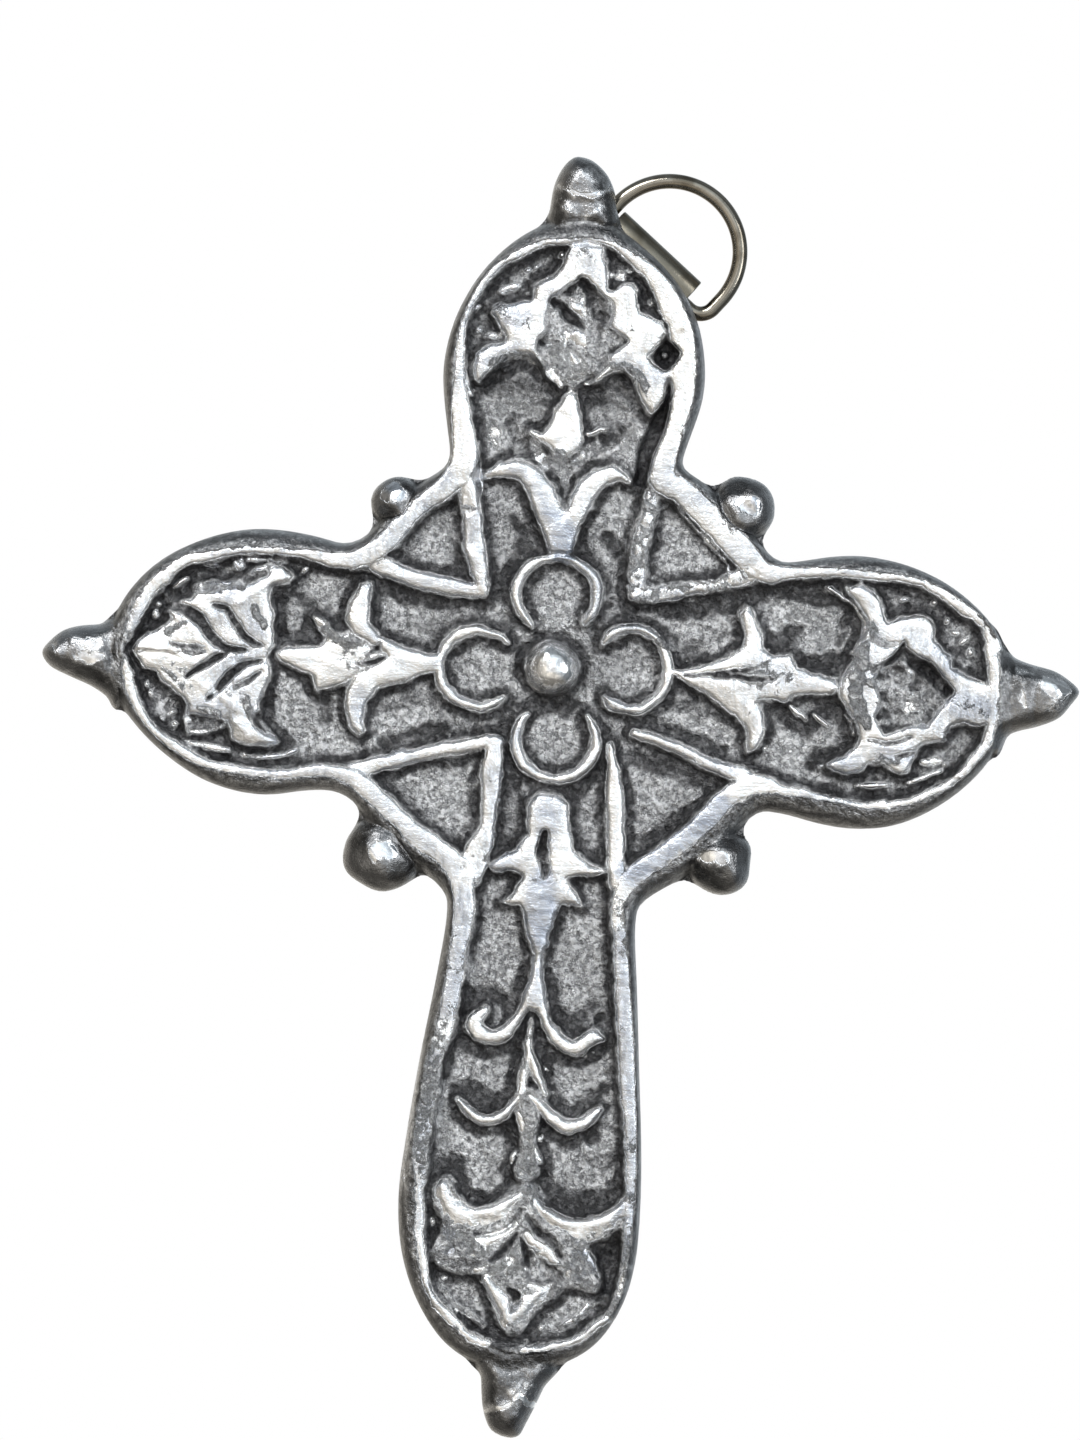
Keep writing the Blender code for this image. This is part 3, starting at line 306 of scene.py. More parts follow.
# the raised rim's middle line, once round: x, z, half width, brightness
RIM = (
    (12.6, 26.4, 1.5, 1.0), (13.0, 29.0, 1.45, 1.0), (13.7, 33.0, 1.5, 1.0),
    (14.5, 37.0, 1.6, 1.0), (14.7, 41.0, 1.6, 1.0), (14.1, 45.0, 1.5, 1.0),
    (12.5, 48.6, 1.4, 1.0), (10.6, 51.4, 1.1, 1.0), (8.4, 53.5, 0.75, 1.0),
    (6.0, 55.0, 0.45, 1.0), (3.9, 55.8, 0.3, 0.9), (1.4, 56.2, 0.3, 0.6),
    (-1.8, 55.7, 0.3, 1.0), (-4.8, 55.0, 0.35, 1.0), (-7.6, 53.6, 0.35, 1.0),
    (-10.4, 51.4, 0.3, 1.0), (-12.4, 48.2, 0.3, 0.9), (-13.7, 44.6, 0.3, 1.0),
    (-14.0, 41.0, 0.5, 1.0), (-13.9, 38.2, 0.6, 1.0), (-13.7, 34.5, 1.0, 0.95),
    (-13.0, 30.5, 1.4, 1.0), (-12.7, 27.0, 1.7, 1.0), (-14.6, 23.8, 1.3, 1.0),
    (-17.5, 21.2, 1.1, 1.0), (-20.5, 18.2, 1.1, 1.0), (-23.2, 15.1, 1.2, 1.0),
    (-26.0, 13.5, 1.1, 1.0), (-29.5, 13.4, 0.8, 1.0), (-33.0, 13.9, 0.45, 1.0),
    (-37.0, 14.1, 0.4, 1.0), (-41.0, 13.9, 0.4, 1.0), (-44.0, 13.3, 0.5, 1.0),
    (-46.5, 12.7, 0.6, 1.0), (-49.0, 11.3, 0.7, 1.0), (-51.0, 9.6, 0.75, 1.0),
    (-52.4, 7.8, 0.75, 1.0), (-53.3, 6.0, 0.75, 1.0), (-54.0, 4.0, 0.6, 0.9),
    (-54.8, 2.2, 0.45, 0.5), (-55.3, 0.4, 0.45, 0.25), (-54.8, -1.0, 0.35, 0.7),
    (-54.4, -2.6, 0.55, 1.0), (-53.9, -4.4, 0.55, 1.0), (-52.9, -6.6, 0.5, 1.0),
    (-51.2, -8.9, 0.5, 1.0), (-49.0, -10.8, 0.5, 1.0), (-46.5, -12.3, 0.55, 1.0),
    (-43.3, -13.6, 0.5, 1.0), (-40.0, -14.2, 0.45, 1.0), (-36.0, -14.4, 0.45, 1.0),
    (-32.0, -14.1, 0.5, 1.0), (-28.0, -13.7, 0.75, 1.0), (-24.0, -14.8, 1.1, 1.0),
    (-20.8, -17.3, 1.15, 1.0), (-17.6, -20.3, 1.25, 1.0), (-14.1, -22.8, 1.3, 1.0),
    (-11.0, -25.0, 1.5, 1.0), (-9.8, -28.6, 1.35, 1.0), (-9.8, -32.0, 1.2, 0.86),
    (-10.2, -37.0, 1.15, 0.84), (-10.7, -42.0, 1.1, 0.8), (-11.4, -46.0, 1.0, 0.68),
    (-12.6, -50.0, 1.0, 0.6), (-13.2, -56.0, 1.1, 0.58), (-13.7, -62.0, 1.0, 0.58),
    (-13.5, -66.0, 0.5, 0.8), (-13.4, -71.0, 0.5, 0.85), (-12.8, -75.5, 0.45, 0.8),
    (-11.8, -79.3, 0.3, 1.0), (-10.2, -81.2, 0.3, 1.0), (-8.2, -83.2, 0.3, 1.0),
    (-6.0, -85.0, 0.3, 1.0), (-3.6, -86.0, 0.25, 1.0), (-1.4, -86.6, 0.4, 0.15),
    (0.9, -86.7, 0.4, 0.9), (3.0, -86.5, 0.3, 1.0), (5.5, -85.8, 0.28, 1.0),
    (8.0, -84.6, 0.28, 1.0), (10.2, -82.9, 0.28, 1.0), (12.0, -81.0, 0.35, 0.6),
    (12.9, -78.0, 0.45, 0.66), (13.3, -74.0, 0.5, 0.64), (13.5, -69.0, 0.6, 0.66),
    (13.6, -64.0, 0.65, 0.7), (13.2, -58.0, 0.75, 0.8), (12.5, -52.0, 0.9, 0.86),
    (11.9, -46.0, 1.0, 0.86), (11.2, -40.0, 1.0, 0.84), (10.7, -35.0, 0.85, 0.74),
    (10.2, -31.0, 0.85, 0.64), (10.2, -28.0, 0.9, 0.7), (11.6, -25.2, 1.1, 1.0),
    (14.8, -22.8, 1.15, 1.0), (18.0, -20.1, 1.15, 1.0), (21.0, -17.1, 1.15, 1.0),
    (23.8, -14.0, 1.1, 1.0), (27.0, -12.3, 1.2, 0.95), (30.5, -13.1, 0.6, 0.85),
    (34.5, -13.6, 0.4, 0.9), (38.5, -14.3, 0.3, 1.0), (42.5, -14.4, 0.35, 1.0),
    (46.5, -13.7, 0.35, 1.0), (50.0, -12.1, 0.35, 1.0), (53.0, -9.8, 0.4, 1.0),
    (55.4, -6.9, 0.5, 1.0), (56.8, -4.0, 0.7, 0.95), (57.1, -1.0, 1.15, 1.0),
    (57.1, 2.0, 1.2, 1.0), (56.8, 4.6, 1.2, 1.0), (56.2, 7.2, 0.95, 1.0),
    (55.2, 9.4, 0.6, 0.75), (52.7, 11.2, 0.65, 0.9), (50.2, 12.9, 0.55, 0.9),
    (47.6, 14.1, 0.45, 1.0), (44.0, 14.8, 0.45, 1.0), (40.0, 15.1, 0.5, 1.0),
    (36.0, 15.2, 0.5, 1.0), (32.0, 14.9, 0.6, 1.0), (28.6, 14.7, 0.9, 1.0),
    (26.0, 14.9, 1.3, 1.0), (23.5, 17.2, 1.7, 1.0), (20.8, 19.9, 1.7, 1.0),
    (17.8, 22.4, 1.65, 1.0), (14.9, 24.8, 1.6, 1.0),
)

# bars: brightness, then x, z, half width along each middle line
BARS = (
    (0.84, ((-12.2, 24.0, 1.2), (-11.4, 20.0, 1.25), (-10.6, 15.0, 1.25), (-9.4, 10.4, 0.95))),
    (1.00, ((-23.6, 13.6, 1.3), (-20.0, 12.2, 1.15), (-16.0, 11.2, 1.1), (-10.4, 10.3, 1.0))),
    (0.62, ((11.7, 23.8, 0.9), (10.9, 20.0, 0.95), (10.3, 15.0, 1.1), (10.1, 11.3, 1.1))),
    (0.64, ((10.8, 10.9, 1.0), (14.6, 11.6, 1.05), (19.0, 12.6, 0.9), (24.6, 14.1, 1.1))),
    (1.00, ((-24.6, -13.4, 1.1), (-20.0, -12.0, 0.95), (-15.0, -10.6, 0.85), (-8.0, -8.9, 0.95))),
    (0.92, ((10.9, -6.8, 0.5), (14.0, -7.5, 0.65), (18.0, -9.0, 0.8), (22.0, -10.6, 0.9),
            (26.0, -11.8, 1.2))),
    (0.85, ((-6.9, -9.2, 1.2), (-7.2, -13.0, 1.3), (-7.2, -17.0, 1.15), (-7.4, -20.0, 1.0),
            (-8.2, -23.0, 1.6), (-9.2, -26.5, 1.5))),
    (0.95, ((7.8, -8.4, 0.4), (8.3, -10.6, 0.7), (8.7, -12.8, 0.95), (8.9, -16.0, 1.1),
            (9.1, -20.0, 1.1), (9.8, -26.0, 1.3))),
)

# petals: middle, reach along x and z, first and last angle of the open loop
PETALS = (
    ((0.1, 10.4), (5.2, 4.8), (-46.0, 236.0)),
    ((10.2, 1.4), (4.7, 5.2), (-134.0, 143.0)),
    ((-9.6, 0.5), (5.0, 4.9), (42.0, 314.0)),
    ((0.9, -8.3), (5.1, 5.0), (137.0, 402.0)),
)
PETAL_HALF = 0.66
BOSS_CENTRE = (0.0, 1.1)
BOSS_RADIUS = 3.75

# ---------------------------------------------------------------- foliage

# height, brightness, outline of the bright top
ISLANDS = {
    "top_leaf": (5.3, 1.0, (
        (-0.6, 55.6), (3.4, 55.3), (3.9, 53.4), (4.5, 51.2), (4.6, 50.0), (5.3, 49.9),
        (6.2, 50.6), (7.6, 50.8), (8.3, 50.0), (8.3, 48.4), (8.9, 47.1), (10.2, 46.8),
        (11.6, 46.0), (12.1, 45.0), (11.7, 43.9), (10.9, 42.6), (10.1, 41.8), (11.0, 40.7),
        (12.4, 39.9), (14.2, 41.2), (14.6, 39.8), (13.6, 39.2), (12.7, 38.2), (12.2, 35.8),
        (10.9, 34.0), (9.8, 36.0), (8.6, 38.7), (7.2, 39.8), (5.8, 39.6), (4.2, 38.3),
        (2.6, 37.6), (0.6, 36.8), (-1.0, 37.4), (-3.0, 38.6), (-3.4, 40.0), (-4.6, 41.2),
        (-6.4, 41.2), (-8.2, 40.7), (-10.0, 39.0), (-11.4, 37.2), (-12.0, 37.6), (-12.3, 39.2),
        (-12.0, 40.8), (-10.6, 41.9), (-8.3, 42.6), (-8.4, 43.4), (-9.6, 45.2), (-10.2, 46.3),
        (-9.0, 47.2), (-6.2, 47.6), (-5.0, 47.8), (-5.0, 49.8), (-4.0, 50.7), (-2.6, 51.2),
        (-1.7, 52.4), (-1.1, 54.0),
    )),
    "top_bud": (5.0, 1.0, (
        (0.2, 36.5), (1.4, 36.0), (1.9, 34.0), (2.3, 32.0), (2.2, 30.0), (1.4, 28.8), (0.7, 28.0),
        (-0.9, 28.4), (-2.0, 29.3), (-4.9, 31.0), (-4.4, 31.4), (-2.9, 30.9), (-2.2, 31.9),
        (-1.2, 34.2),
    )),
    "top_scroll": (5.1, 1.0, (
        (-10.0, 25.4), (-8.3, 26.7), (-6.3, 27.4), (-4.2, 27.1), (-2.4, 26.0), (-1.1, 24.0),
        (-0.2, 21.8), (0.6, 21.2), (1.2, 22.8), (2.3, 25.1), (4.0, 26.8), (6.2, 27.3), (7.8, 26.4),
        (8.9, 25.2), (7.4, 25.4), (5.8, 25.0), (4.3, 23.4), (3.2, 20.8), (2.3, 18.0), (1.8, 15.8),
        (-1.2, 15.8), (-1.7, 17.0), (-3.0, 20.2), (-4.3, 23.3), (-5.6, 24.9), (-7.5, 25.2),
    )),
    "left_leaf": (5.2, 0.95, (
        (-54.0, 0.7), (-52.6, 2.2), (-50.4, 3.6), (-48.8, 4.8), (-49.8, 5.8), (-47.4, 7.2),
        (-46.6, 7.4), (-45.8, 9.3), (-44.0, 9.8), (-42.4, 9.3), (-40.4, 10.4), (-38.6, 11.8),
        (-36.6, 12.4), (-35.0, 12.2), (-33.6, 11.0), (-34.4, 10.2), (-36.6, 9.6), (-36.8, 8.2),
        (-36.3, 6.0), (-36.2, 3.8), (-35.8, 2.4), (-36.4, 1.4), (-36.8, 0.6), (-36.2, -0.6),
        (-36.2, -2.4), (-36.8, -4.0), (-37.4, -5.8), (-37.5, -7.5), (-36.6, -8.7), (-34.6, -10.3),
        (-36.0, -10.9), (-38.8, -11.0), (-40.4, -10.1), (-40.9, -8.6), (-41.3, -7.4),
        (-41.6, -8.6), (-44.0, -9.5), (-46.4, -9.8), (-46.8, -8.4), (-46.4, -6.4), (-47.2, -5.0),
        (-49.8, -3.4), (-50.6, -2.2), (-52.4, -1.6),
    )),
    "left_bud": (4.95, 0.9, (
        (-35.6, 0.9), (-34.4, 1.9), (-30.0, 2.2), (-29.2, 3.4), (-30.6, 5.8), (-29.8, 5.4),
        (-28.0, 4.0), (-26.6, 4.4), (-24.6, 3.2), (-21.4, 1.6), (-22.6, 0.8), (-24.6, -0.8),
        (-26.4, -2.6), (-29.0, -2.9), (-30.2, -3.4), (-30.8, -1.6), (-32.6, -0.9), (-35.0, 0.0),
    )),
    "left_anchor": (5.1, 1.0, (
        (-23.6, 10.8), (-25.0, 10.6), (-26.5, 7.8), (-26.9, 5.8), (-25.2, 3.9), (-22.8, 2.6),
        (-21.2, 1.6), (-23.2, 0.3), (-25.0, -1.2), (-26.2, -3.4), (-26.4, -5.6), (-25.8, -7.6),
        (-24.4, -8.8), (-23.6, -8.4), (-24.0, -6.6), (-23.4, -4.6), (-22.2, -2.4), (-19.0, -1.7),
        (-17.0, -0.8), (-15.0, -0.3), (-14.6, 2.0), (-16.0, 2.0), (-20.0, 2.9), (-22.4, 3.9),
        (-23.7, 5.6), (-23.9, 8.0),
    )),
    "right_anchor": (5.1, 0.9, (
        (15.0, 1.6), (17.4, 1.7), (20.0, 2.5), (22.4, 3.5), (24.2, 5.0), (24.5, 7.2), (23.9, 9.4),
        (24.4, 10.3), (25.6, 9.2), (26.5, 7.2), (27.1, 4.9), (28.4, 4.0), (30.4, 4.4), (31.0, 3.0),
        (33.2, 2.3),
        (36.4, 1.4), (36.8, 0.6), (36.2, -0.4), (33.4, -0.6), (31.4, -0.8), (30.6, -1.6),
        (28.6, -1.4), (26.4, -1.7), (27.4, -3.4), (27.7, -5.6), (26.8, -7.6), (25.6, -8.4),
        (25.5, -6.4), (24.0, -4.2), (21.8, -2.6), (20.0, -1.4), (18.0, -0.4), (16.4, 0.6),
    )),
    "right_leaf": (5.3, 0.95, (
        (37.2, 13.4), (39.0, 14.0), (40.8, 13.1), (41.9, 11.4), (42.5, 8.9), (44.4, 9.9),
        (46.6, 10.4), (48.1, 9.9), (48.5, 8.6), (48.7, 7.2), (50.0, 6.0), (51.1, 5.2),
        (51.3, 3.9), (53.0, 3.0), (55.4, 2.1), (56.6, 1.4), (56.4, -3.0), (55.2, -3.6),
        (53.2, -3.2), (51.4, -3.6), (50.6, -4.5), (50.6, -5.6), (49.4, -5.9), (47.8, -6.3),
        (47.0, -7.2), (46.7, -8.8), (46.2, -10.1), (45.0, -10.2), (43.4, -9.5), (42.4, -8.8),
        (41.3, -9.1), (40.2, -10.1), (38.2, -10.6), (35.7, -9.8), (36.2, -9.1), (37.8, -8.3),
        (39.3, -7.1), (39.8, -5.8), (39.4, -4.2), (38.4, -2.8), (37.2, -1.0), (36.8, 0.2),
        (37.2, 1.8), (38.4, 3.8), (39.5, 6.2), (40.0, 8.2), (39.9, 9.8), (38.7, 11.2),
        (37.3, 12.5),
    )),
    "bottom_stem": (5.2, 0.97, (
        (-1.9, -16.2), (-0.7, -15.3), (1.4, -15.3), (2.9, -16.3), (3.2, -19.6), (4.0, -22.2),
        (6.0, -24.0), (8.3, -24.8), (6.6, -25.3), (3.4, -26.0), (4.6, -28.0), (5.4, -29.5),
        (3.8, -29.2), (2.5, -29.1), (2.0, -31.0), (1.2, -34.4), (0.5, -36.0), (-0.4, -36.0),
        (-1.2, -33.4), (-2.2, -30.2), (-2.6, -29.4), (-4.6, -29.4), (-3.4, -27.9), (-2.4, -25.8),
        (-4.2, -25.2), (-6.0, -25.3), (-6.8, -24.7), (-5.8, -23.9), (-3.4, -22.5), (-2.2, -20.4),
    )),
    "bottom_leaf": (4.9, 0.52, (
        (-9.2, -65.2), (-10.6, -65.1), (-11.9, -66.5), (-11.8, -68.6), (-10.9, -70.2),
        (-10.0, -71.4), (-11.2, -73.2), (-12.0, -75.0), (-11.0, -76.3), (-8.6, -76.9),
        (-5.6, -77.1), (-4.6, -77.4), (-3.8, -79.4), (-3.2, -81.4), (-2.6, -83.4),
        (-1.2, -84.8), (0.2, -84.7), (1.4, -82.8), (2.8, -80.8), (4.4, -79.8), (5.6, -78.4),
        (7.8, -78.3), (9.7, -78.6), (10.3, -77.4), (9.9, -75.6), (8.9, -74.0), (8.1, -72.9),
        (10.2, -71.9), (12.2, -70.4), (13.2, -68.2), (13.0, -65.8), (12.4, -66.6),
        (11.2, -68.1), (9.2, -69.2), (7.0, -69.7), (4.8, -69.3), (3.0, -68.2), (1.5, -66.8),
        (0.6, -65.9), (-0.4, -65.8), (-1.8, -66.5), (-3.4, -67.8), (-5.4, -68.8), (-7.2, -68.3),
        (-8.5, -67.0),
    )),
}

# stems, crescents, ridges and drops: height, brightness, then x, z, half width
STEMS = (
    (5.0, 1.0, ((0.0, -35.0, 0.35), (0.0, -37.5, 0.7), (0.0, -39.5, 1.05), (0.0, -41.8, 1.45))),
    (5.0, 1.0, ((-0.6, -41.8, 0.8), (-1.6, -43.4, 0.55), (-2.6, -44.8, 0.7), (-3.8, -46.1, 0.85),
                (-5.2, -46.8, 0.95), (-6.8, -46.3, 1.05), (-7.6, -45.2, 1.05),
                (-7.1, -44.1, 0.8), (-6.3, -43.3, 0.4))),
    (5.0, 1.0, ((0.7, -42.0, 0.8), (1.8, -44.6, 0.6), (2.8, -46.0, 0.8), (4.2, -47.3, 0.95),
                (5.6, -47.6, 0.98), (7.0, -46.6, 0.95), (7.9, -45.9, 0.85), (8.6, -46.0, 0.4))),
    (4.7, 0.7, ((-0.2, -44.4, 0.3), (-0.5, -47.6, 0.5), (-0.9, -51.0, 0.6), (-1.1, -54.0, 0.7))),
    (4.8, 1.0, ((-0.8, -47.6, 0.3), (0.0, -49.6, 0.5), (0.9, -51.6, 0.5), (1.9, -53.8, 0.25))),
    (4.9, 1.0, ((-9.3, -54.8, 0.3), (-8.2, -56.0, 0.6), (-6.8, -57.0, 0.74), (-5.2, -57.3, 0.74),
                (-3.6, -56.8, 0.65), (-2.4, -55.6, 0.55), (-1.5, -54.4, 0.4))),
    (4.9, 1.0, ((0.0, -54.0, 0.4), (1.6, -55.4, 0.6), (3.2, -56.8, 0.8), (5.0, -57.7, 0.85),
                (6.6, -57.4, 0.8), (8.0, -56.2, 0.6), (9.0, -55.2, 0.35))),
    (4.7, 0.5, ((-0.1, -54.6, 1.5), (0.0, -57.0, 1.4), (0.0, -59.4, 0.85), (0.1, -61.4, 1.0),
                (0.1, -63.4, 1.6))),
    (5.25, 1.0, ((-46.6, 7.2, 0.3), (-43.0, 7.8, 0.5), (-39.0, 8.9, 0.5), (-36.4, 10.3, 0.6),
                 (-34.9, 11.1, 0.5))),
    (5.2, 0.9, ((-6.4, -69.8, 0.9), (-3.8, -69.0, 0.9), (-1.4, -67.3, 0.6), (0.0, -66.2, 0.3))),
    (5.2, 0.8, ((-4.4, -73.2, 0.5), (-2.2, -72.0, 0.5), (-0.4, -69.8, 0.3))),
    (5.1, 0.9, ((0.3, -71.7, 0.4), (2.4, -73.4, 0.5), (4.6, -74.9, 0.3))),
    (5.2, 1.0, ((3.0, -68.8, 0.6), (5.4, -70.0, 0.8), (8.0, -70.3, 0.8), (10.6, -69.4, 0.8),
                (12.6, -67.2, 0.5))),
    (5.2, 1.0, ((-10.4, -66.2, 0.9), (-10.0, -68.0, 1.0), (-8.6, -69.6, 0.9),
                (-6.4, -70.4, 0.8))),
    (5.3, 1.0, ((-4.3, -77.6, 0.5), (-3.0, -79.4, 0.85), (-1.6, -81.8, 0.95), (-0.7, -83.2, 0.7))),
    (5.3, 1.0, ((2.8, -78.8, 0.5), (1.4, -80.2, 0.8), (0.2, -81.9, 0.9), (-0.5, -83.2, 0.7))),
    (5.1, 0.85, ((-1.0, -73.4, 0.25), (-1.5, -75.6, 0.55), (-1.9, -77.6, 0.6))),
    (5.1, 0.9, ((8.1, -73.1, 0.12), (9.4, -74.9, 0.15), (10.0, -76.7, 0.12))),
)

# thin raised lines left by the mould: height, x, z, half width
SEAMS = (
    (4.5, ((-47.0, -10.6, 0.12), (-45.0, -11.1, 0.3), (-43.0, -11.5, 0.45), (-41.0, -11.7, 0.25))),
    (4.4, ((-39.2, -12.2, 0.12), (-36.5, -12.4, 0.16), (-34.0, -12.1, 0.18), (-32.4, -11.2, 0.2))),
    (4.6, ((-39.6, 12.8, 0.2), (-37.0, 12.9, 0.2), (-34.6, 12.7, 0.15))),
    (4.8, ((34.8, 13.3, 0.15), (36.4, 12.2, 0.14), (38.2, 10.9, 0.16), (39.3, 9.4, 0.16),
           (39.6, 8.0, 0.14), (39.2, 6.2, 0.14), (38.2, 4.7, 0.1))),
    (4.8, ((37.7, -2.9, 0.15), (38.7, -4.2, 0.16), (39.1, -5.6, 0.14))),
    (4.5, ((39.6, -12.1, 0.15), (41.6, -11.9, 0.35), (43.4, -11.8, 0.25))),
    (4.5, ((46.4, -11.3, 0.15), (48.4, -10.6, 0.2), (50.4, -9.6, 0.15))),
    (4.7, ((14.8, 22.2, 0.1), (17.0, 20.2, 0.13), (19.6, 17.7, 0.14), (21.4, 15.9, 0.15),
           (21.9, 14.9, 0.12))),
    (4.4, ((31.0, -2.2, 0.2), (31.8, -3.0, 0.35), (32.9, -4.0, 0.15))),
    (4.4, ((33.9, -3.2, 0.15), (34.6, -3.8, 0.3), (35.6, -4.6, 0.15))),
    (4.5, ((-30.9, 5.9, 0.15), (-30.1, 4.4, 0.3), (-29.0, 3.0, 0.2))),
    (4.3, ((-9.9, -79.2, 0.3), (-8.2, -81.5, 0.4), (-6.0, -82.9, 0.4), (-4.4, -83.8, 0.25))),
    (4.3, ((8.8, -80.4, 0.3), (7.4, -82.0, 0.3), (5.4, -83.2, 0.2))),
    (4.6, ((1.0, -60.5, 0.15), (1.5, -61.4, 0.3), (2.0, -62.6, 0.15))),
    (4.6, ((-1.5, -61.2, 0.12), (-1.8, -62.0, 0.2), (-1.9, -62.9, 0.1))),
    (4.9, ((-1.5, -56.5, 0.25), (-1.0, -57.6, 0.3), (-0.8, -58.4, 0.15))),
    (4.7, ((3.0, 31.2, 0.15), (4.2, 31.6, 0.25), (5.6, 32.2, 0.15))),
    (5.0, ((-13.9, 40.0, 0.15), (-13.0, 37.6, 0.18), (-12.2, 35.4, 0.15))),
    (4.4, ((1.3, 49.0, 0.15), (1.3, 47.6, 0.35), (1.7, 46.4, 0.12))),
    (4.6, ((-49.2, 8.8, 0.15), (-48.2, 9.4, 0.3), (-47.2, 9.9, 0.15))),
    (4.9, ((-42.8, 4.4, 0.2), (-41.4, 3.1, 0.4), (-39.9, 2.0, 0.2))),
    (4.4, ((49.2, -2.6, 0.2), (49.8, -2.0, 0.3), (50.5, -1.4, 0.15))),
    (4.5, ((41.0, 0.6, 0.2), (43.0, 0.4, 0.3), (45.6, 0.3, 0.25), (47.6, 0.4, 0.12))),
)

# loose bright specks in the hollows: x, z, reach along and across, turn in degrees, height
CHIPS = (
    (-6.1, 51.9, 0.7, 0.35, 20, 4.3), (-4.8, 52.5, 0.5, 0.25, 10, 4.3),
    (-8.4, 49.4, 1.3, 0.6, 15, 4.2), (-5.7, 48.7, 0.35, 0.3, 0, 4.2),
    (-11.7, 43.8, 0.4, 0.35, 0, 4.2), (-9.8, 43.3, 1.0, 0.55, 10, 4.4),
    (-12.1, 46.6, 0.5, 0.4, 60, 4.5), (-1.6, 54.2, 0.3, 0.5, 0, 4.2),
    (4.2, 53.7, 0.4, 0.5, 20, 4.4), (4.8, 51.9, 0.3, 0.5, 10, 4.4),
    (7.1, 52.6, 0.5, 0.25, -20, 4.4),
    (6.1, 51.9, 0.9, 0.8, 0, 4.1), (9.9, 48.5, 0.65, 0.5, -30, 4.5),
    (11.4, 47.3, 0.5, 0.3, -40, 4.4),
    (12.2, 42.0, 0.35, 0.4, 30, 4.1), (7.4, 38.0, 0.5, 0.2, -50, 4.3),
    (-8.0, 39.0, 0.6, 0.3, 10, 4.2),
    (12.5, 37.4, 0.2, 0.7, -10, 4.2),
    (-51.3, 5.2, 0.5, 0.6, 20, 4.6), (-50.9, 6.4, 0.6, 0.3, 0, 4.5), (-50.2, 8.0, 0.3, 0.3, 0, 4.5),
    (-40.9, 12.0, 0.8, 0.9, 0, 4.6), (-44.6, 12.0, 0.9, 0.25, 5, 4.4),
    (-32.3, 11.9, 0.6, 0.3, 40, 4.4),
    (-51.9, -3.7, 0.3, 0.5, 20, 4.5), (-51.4, -5.0, 0.3, 0.6, 20, 4.5),
    (-48.5, -7.4, 0.6, 0.3, 10, 4.2),
    (-48.1, -8.6, 0.4, 0.35, 0, 4.4), (-49.6, -7.9, 0.25, 0.5, 30, 4.3),
    (44.4, 12.1, 0.8, 0.35, 0, 4.5), (48.6, 12.0, 0.35, 0.3, 0, 4.5),
    (50.2, 9.8, 0.5, 0.5, 30, 4.6),
    (53.3, 5.8, 0.5, 0.6, 0, 4.5), (52.8, 7.4, 0.9, 0.5, 50, 4.2), (51.4, 8.3, 0.9, 0.4, 0, 4.1),
    (54.6, 9.9, 0.5, 0.4, -45, 4.6), (48.3, -8.6, 0.6, 0.45, 0, 4.4),
    (50.9, -8.8, 0.5, 0.35, 30, 4.4),
    (49.6, -8.4, 1.4, 0.7, 5, 4.1), (44.5, 4.4, 0.5, 0.4, 30, 4.4), (45.4, 0.0, 0.5, 0.5, 40, 4.5),
    (47.5, -2.0, 0.4, 0.6, 20, 4.4), (42.0, -1.6, 0.6, 0.4, 0, 4.3), (47.9, 2.0, 0.4, 0.3, 0, 4.3),
    (44.6, 2.0, 0.5, 0.3, 30, 4.2), (35.1, -9.8, 0.4, 0.35, 0, 4.4),
    (47.9, -3.9, 0.4, 0.3, 20, 4.4),
    (3.0, -83.7, 0.35, 0.45, 0, 4.2), (-9.8, -77.9, 0.5, 0.4, 0, 4.1),
    (-11.8, -71.0, 0.4, 0.7, 10, 4.0),
    (7.4, 30.4, 0.3, 0.3, 0, 4.4), (35.4, 13.2, 0.3, 0.3, 0, 4.5), (36.5, 12.6, 0.3, 0.2, 40, 4.5),
)

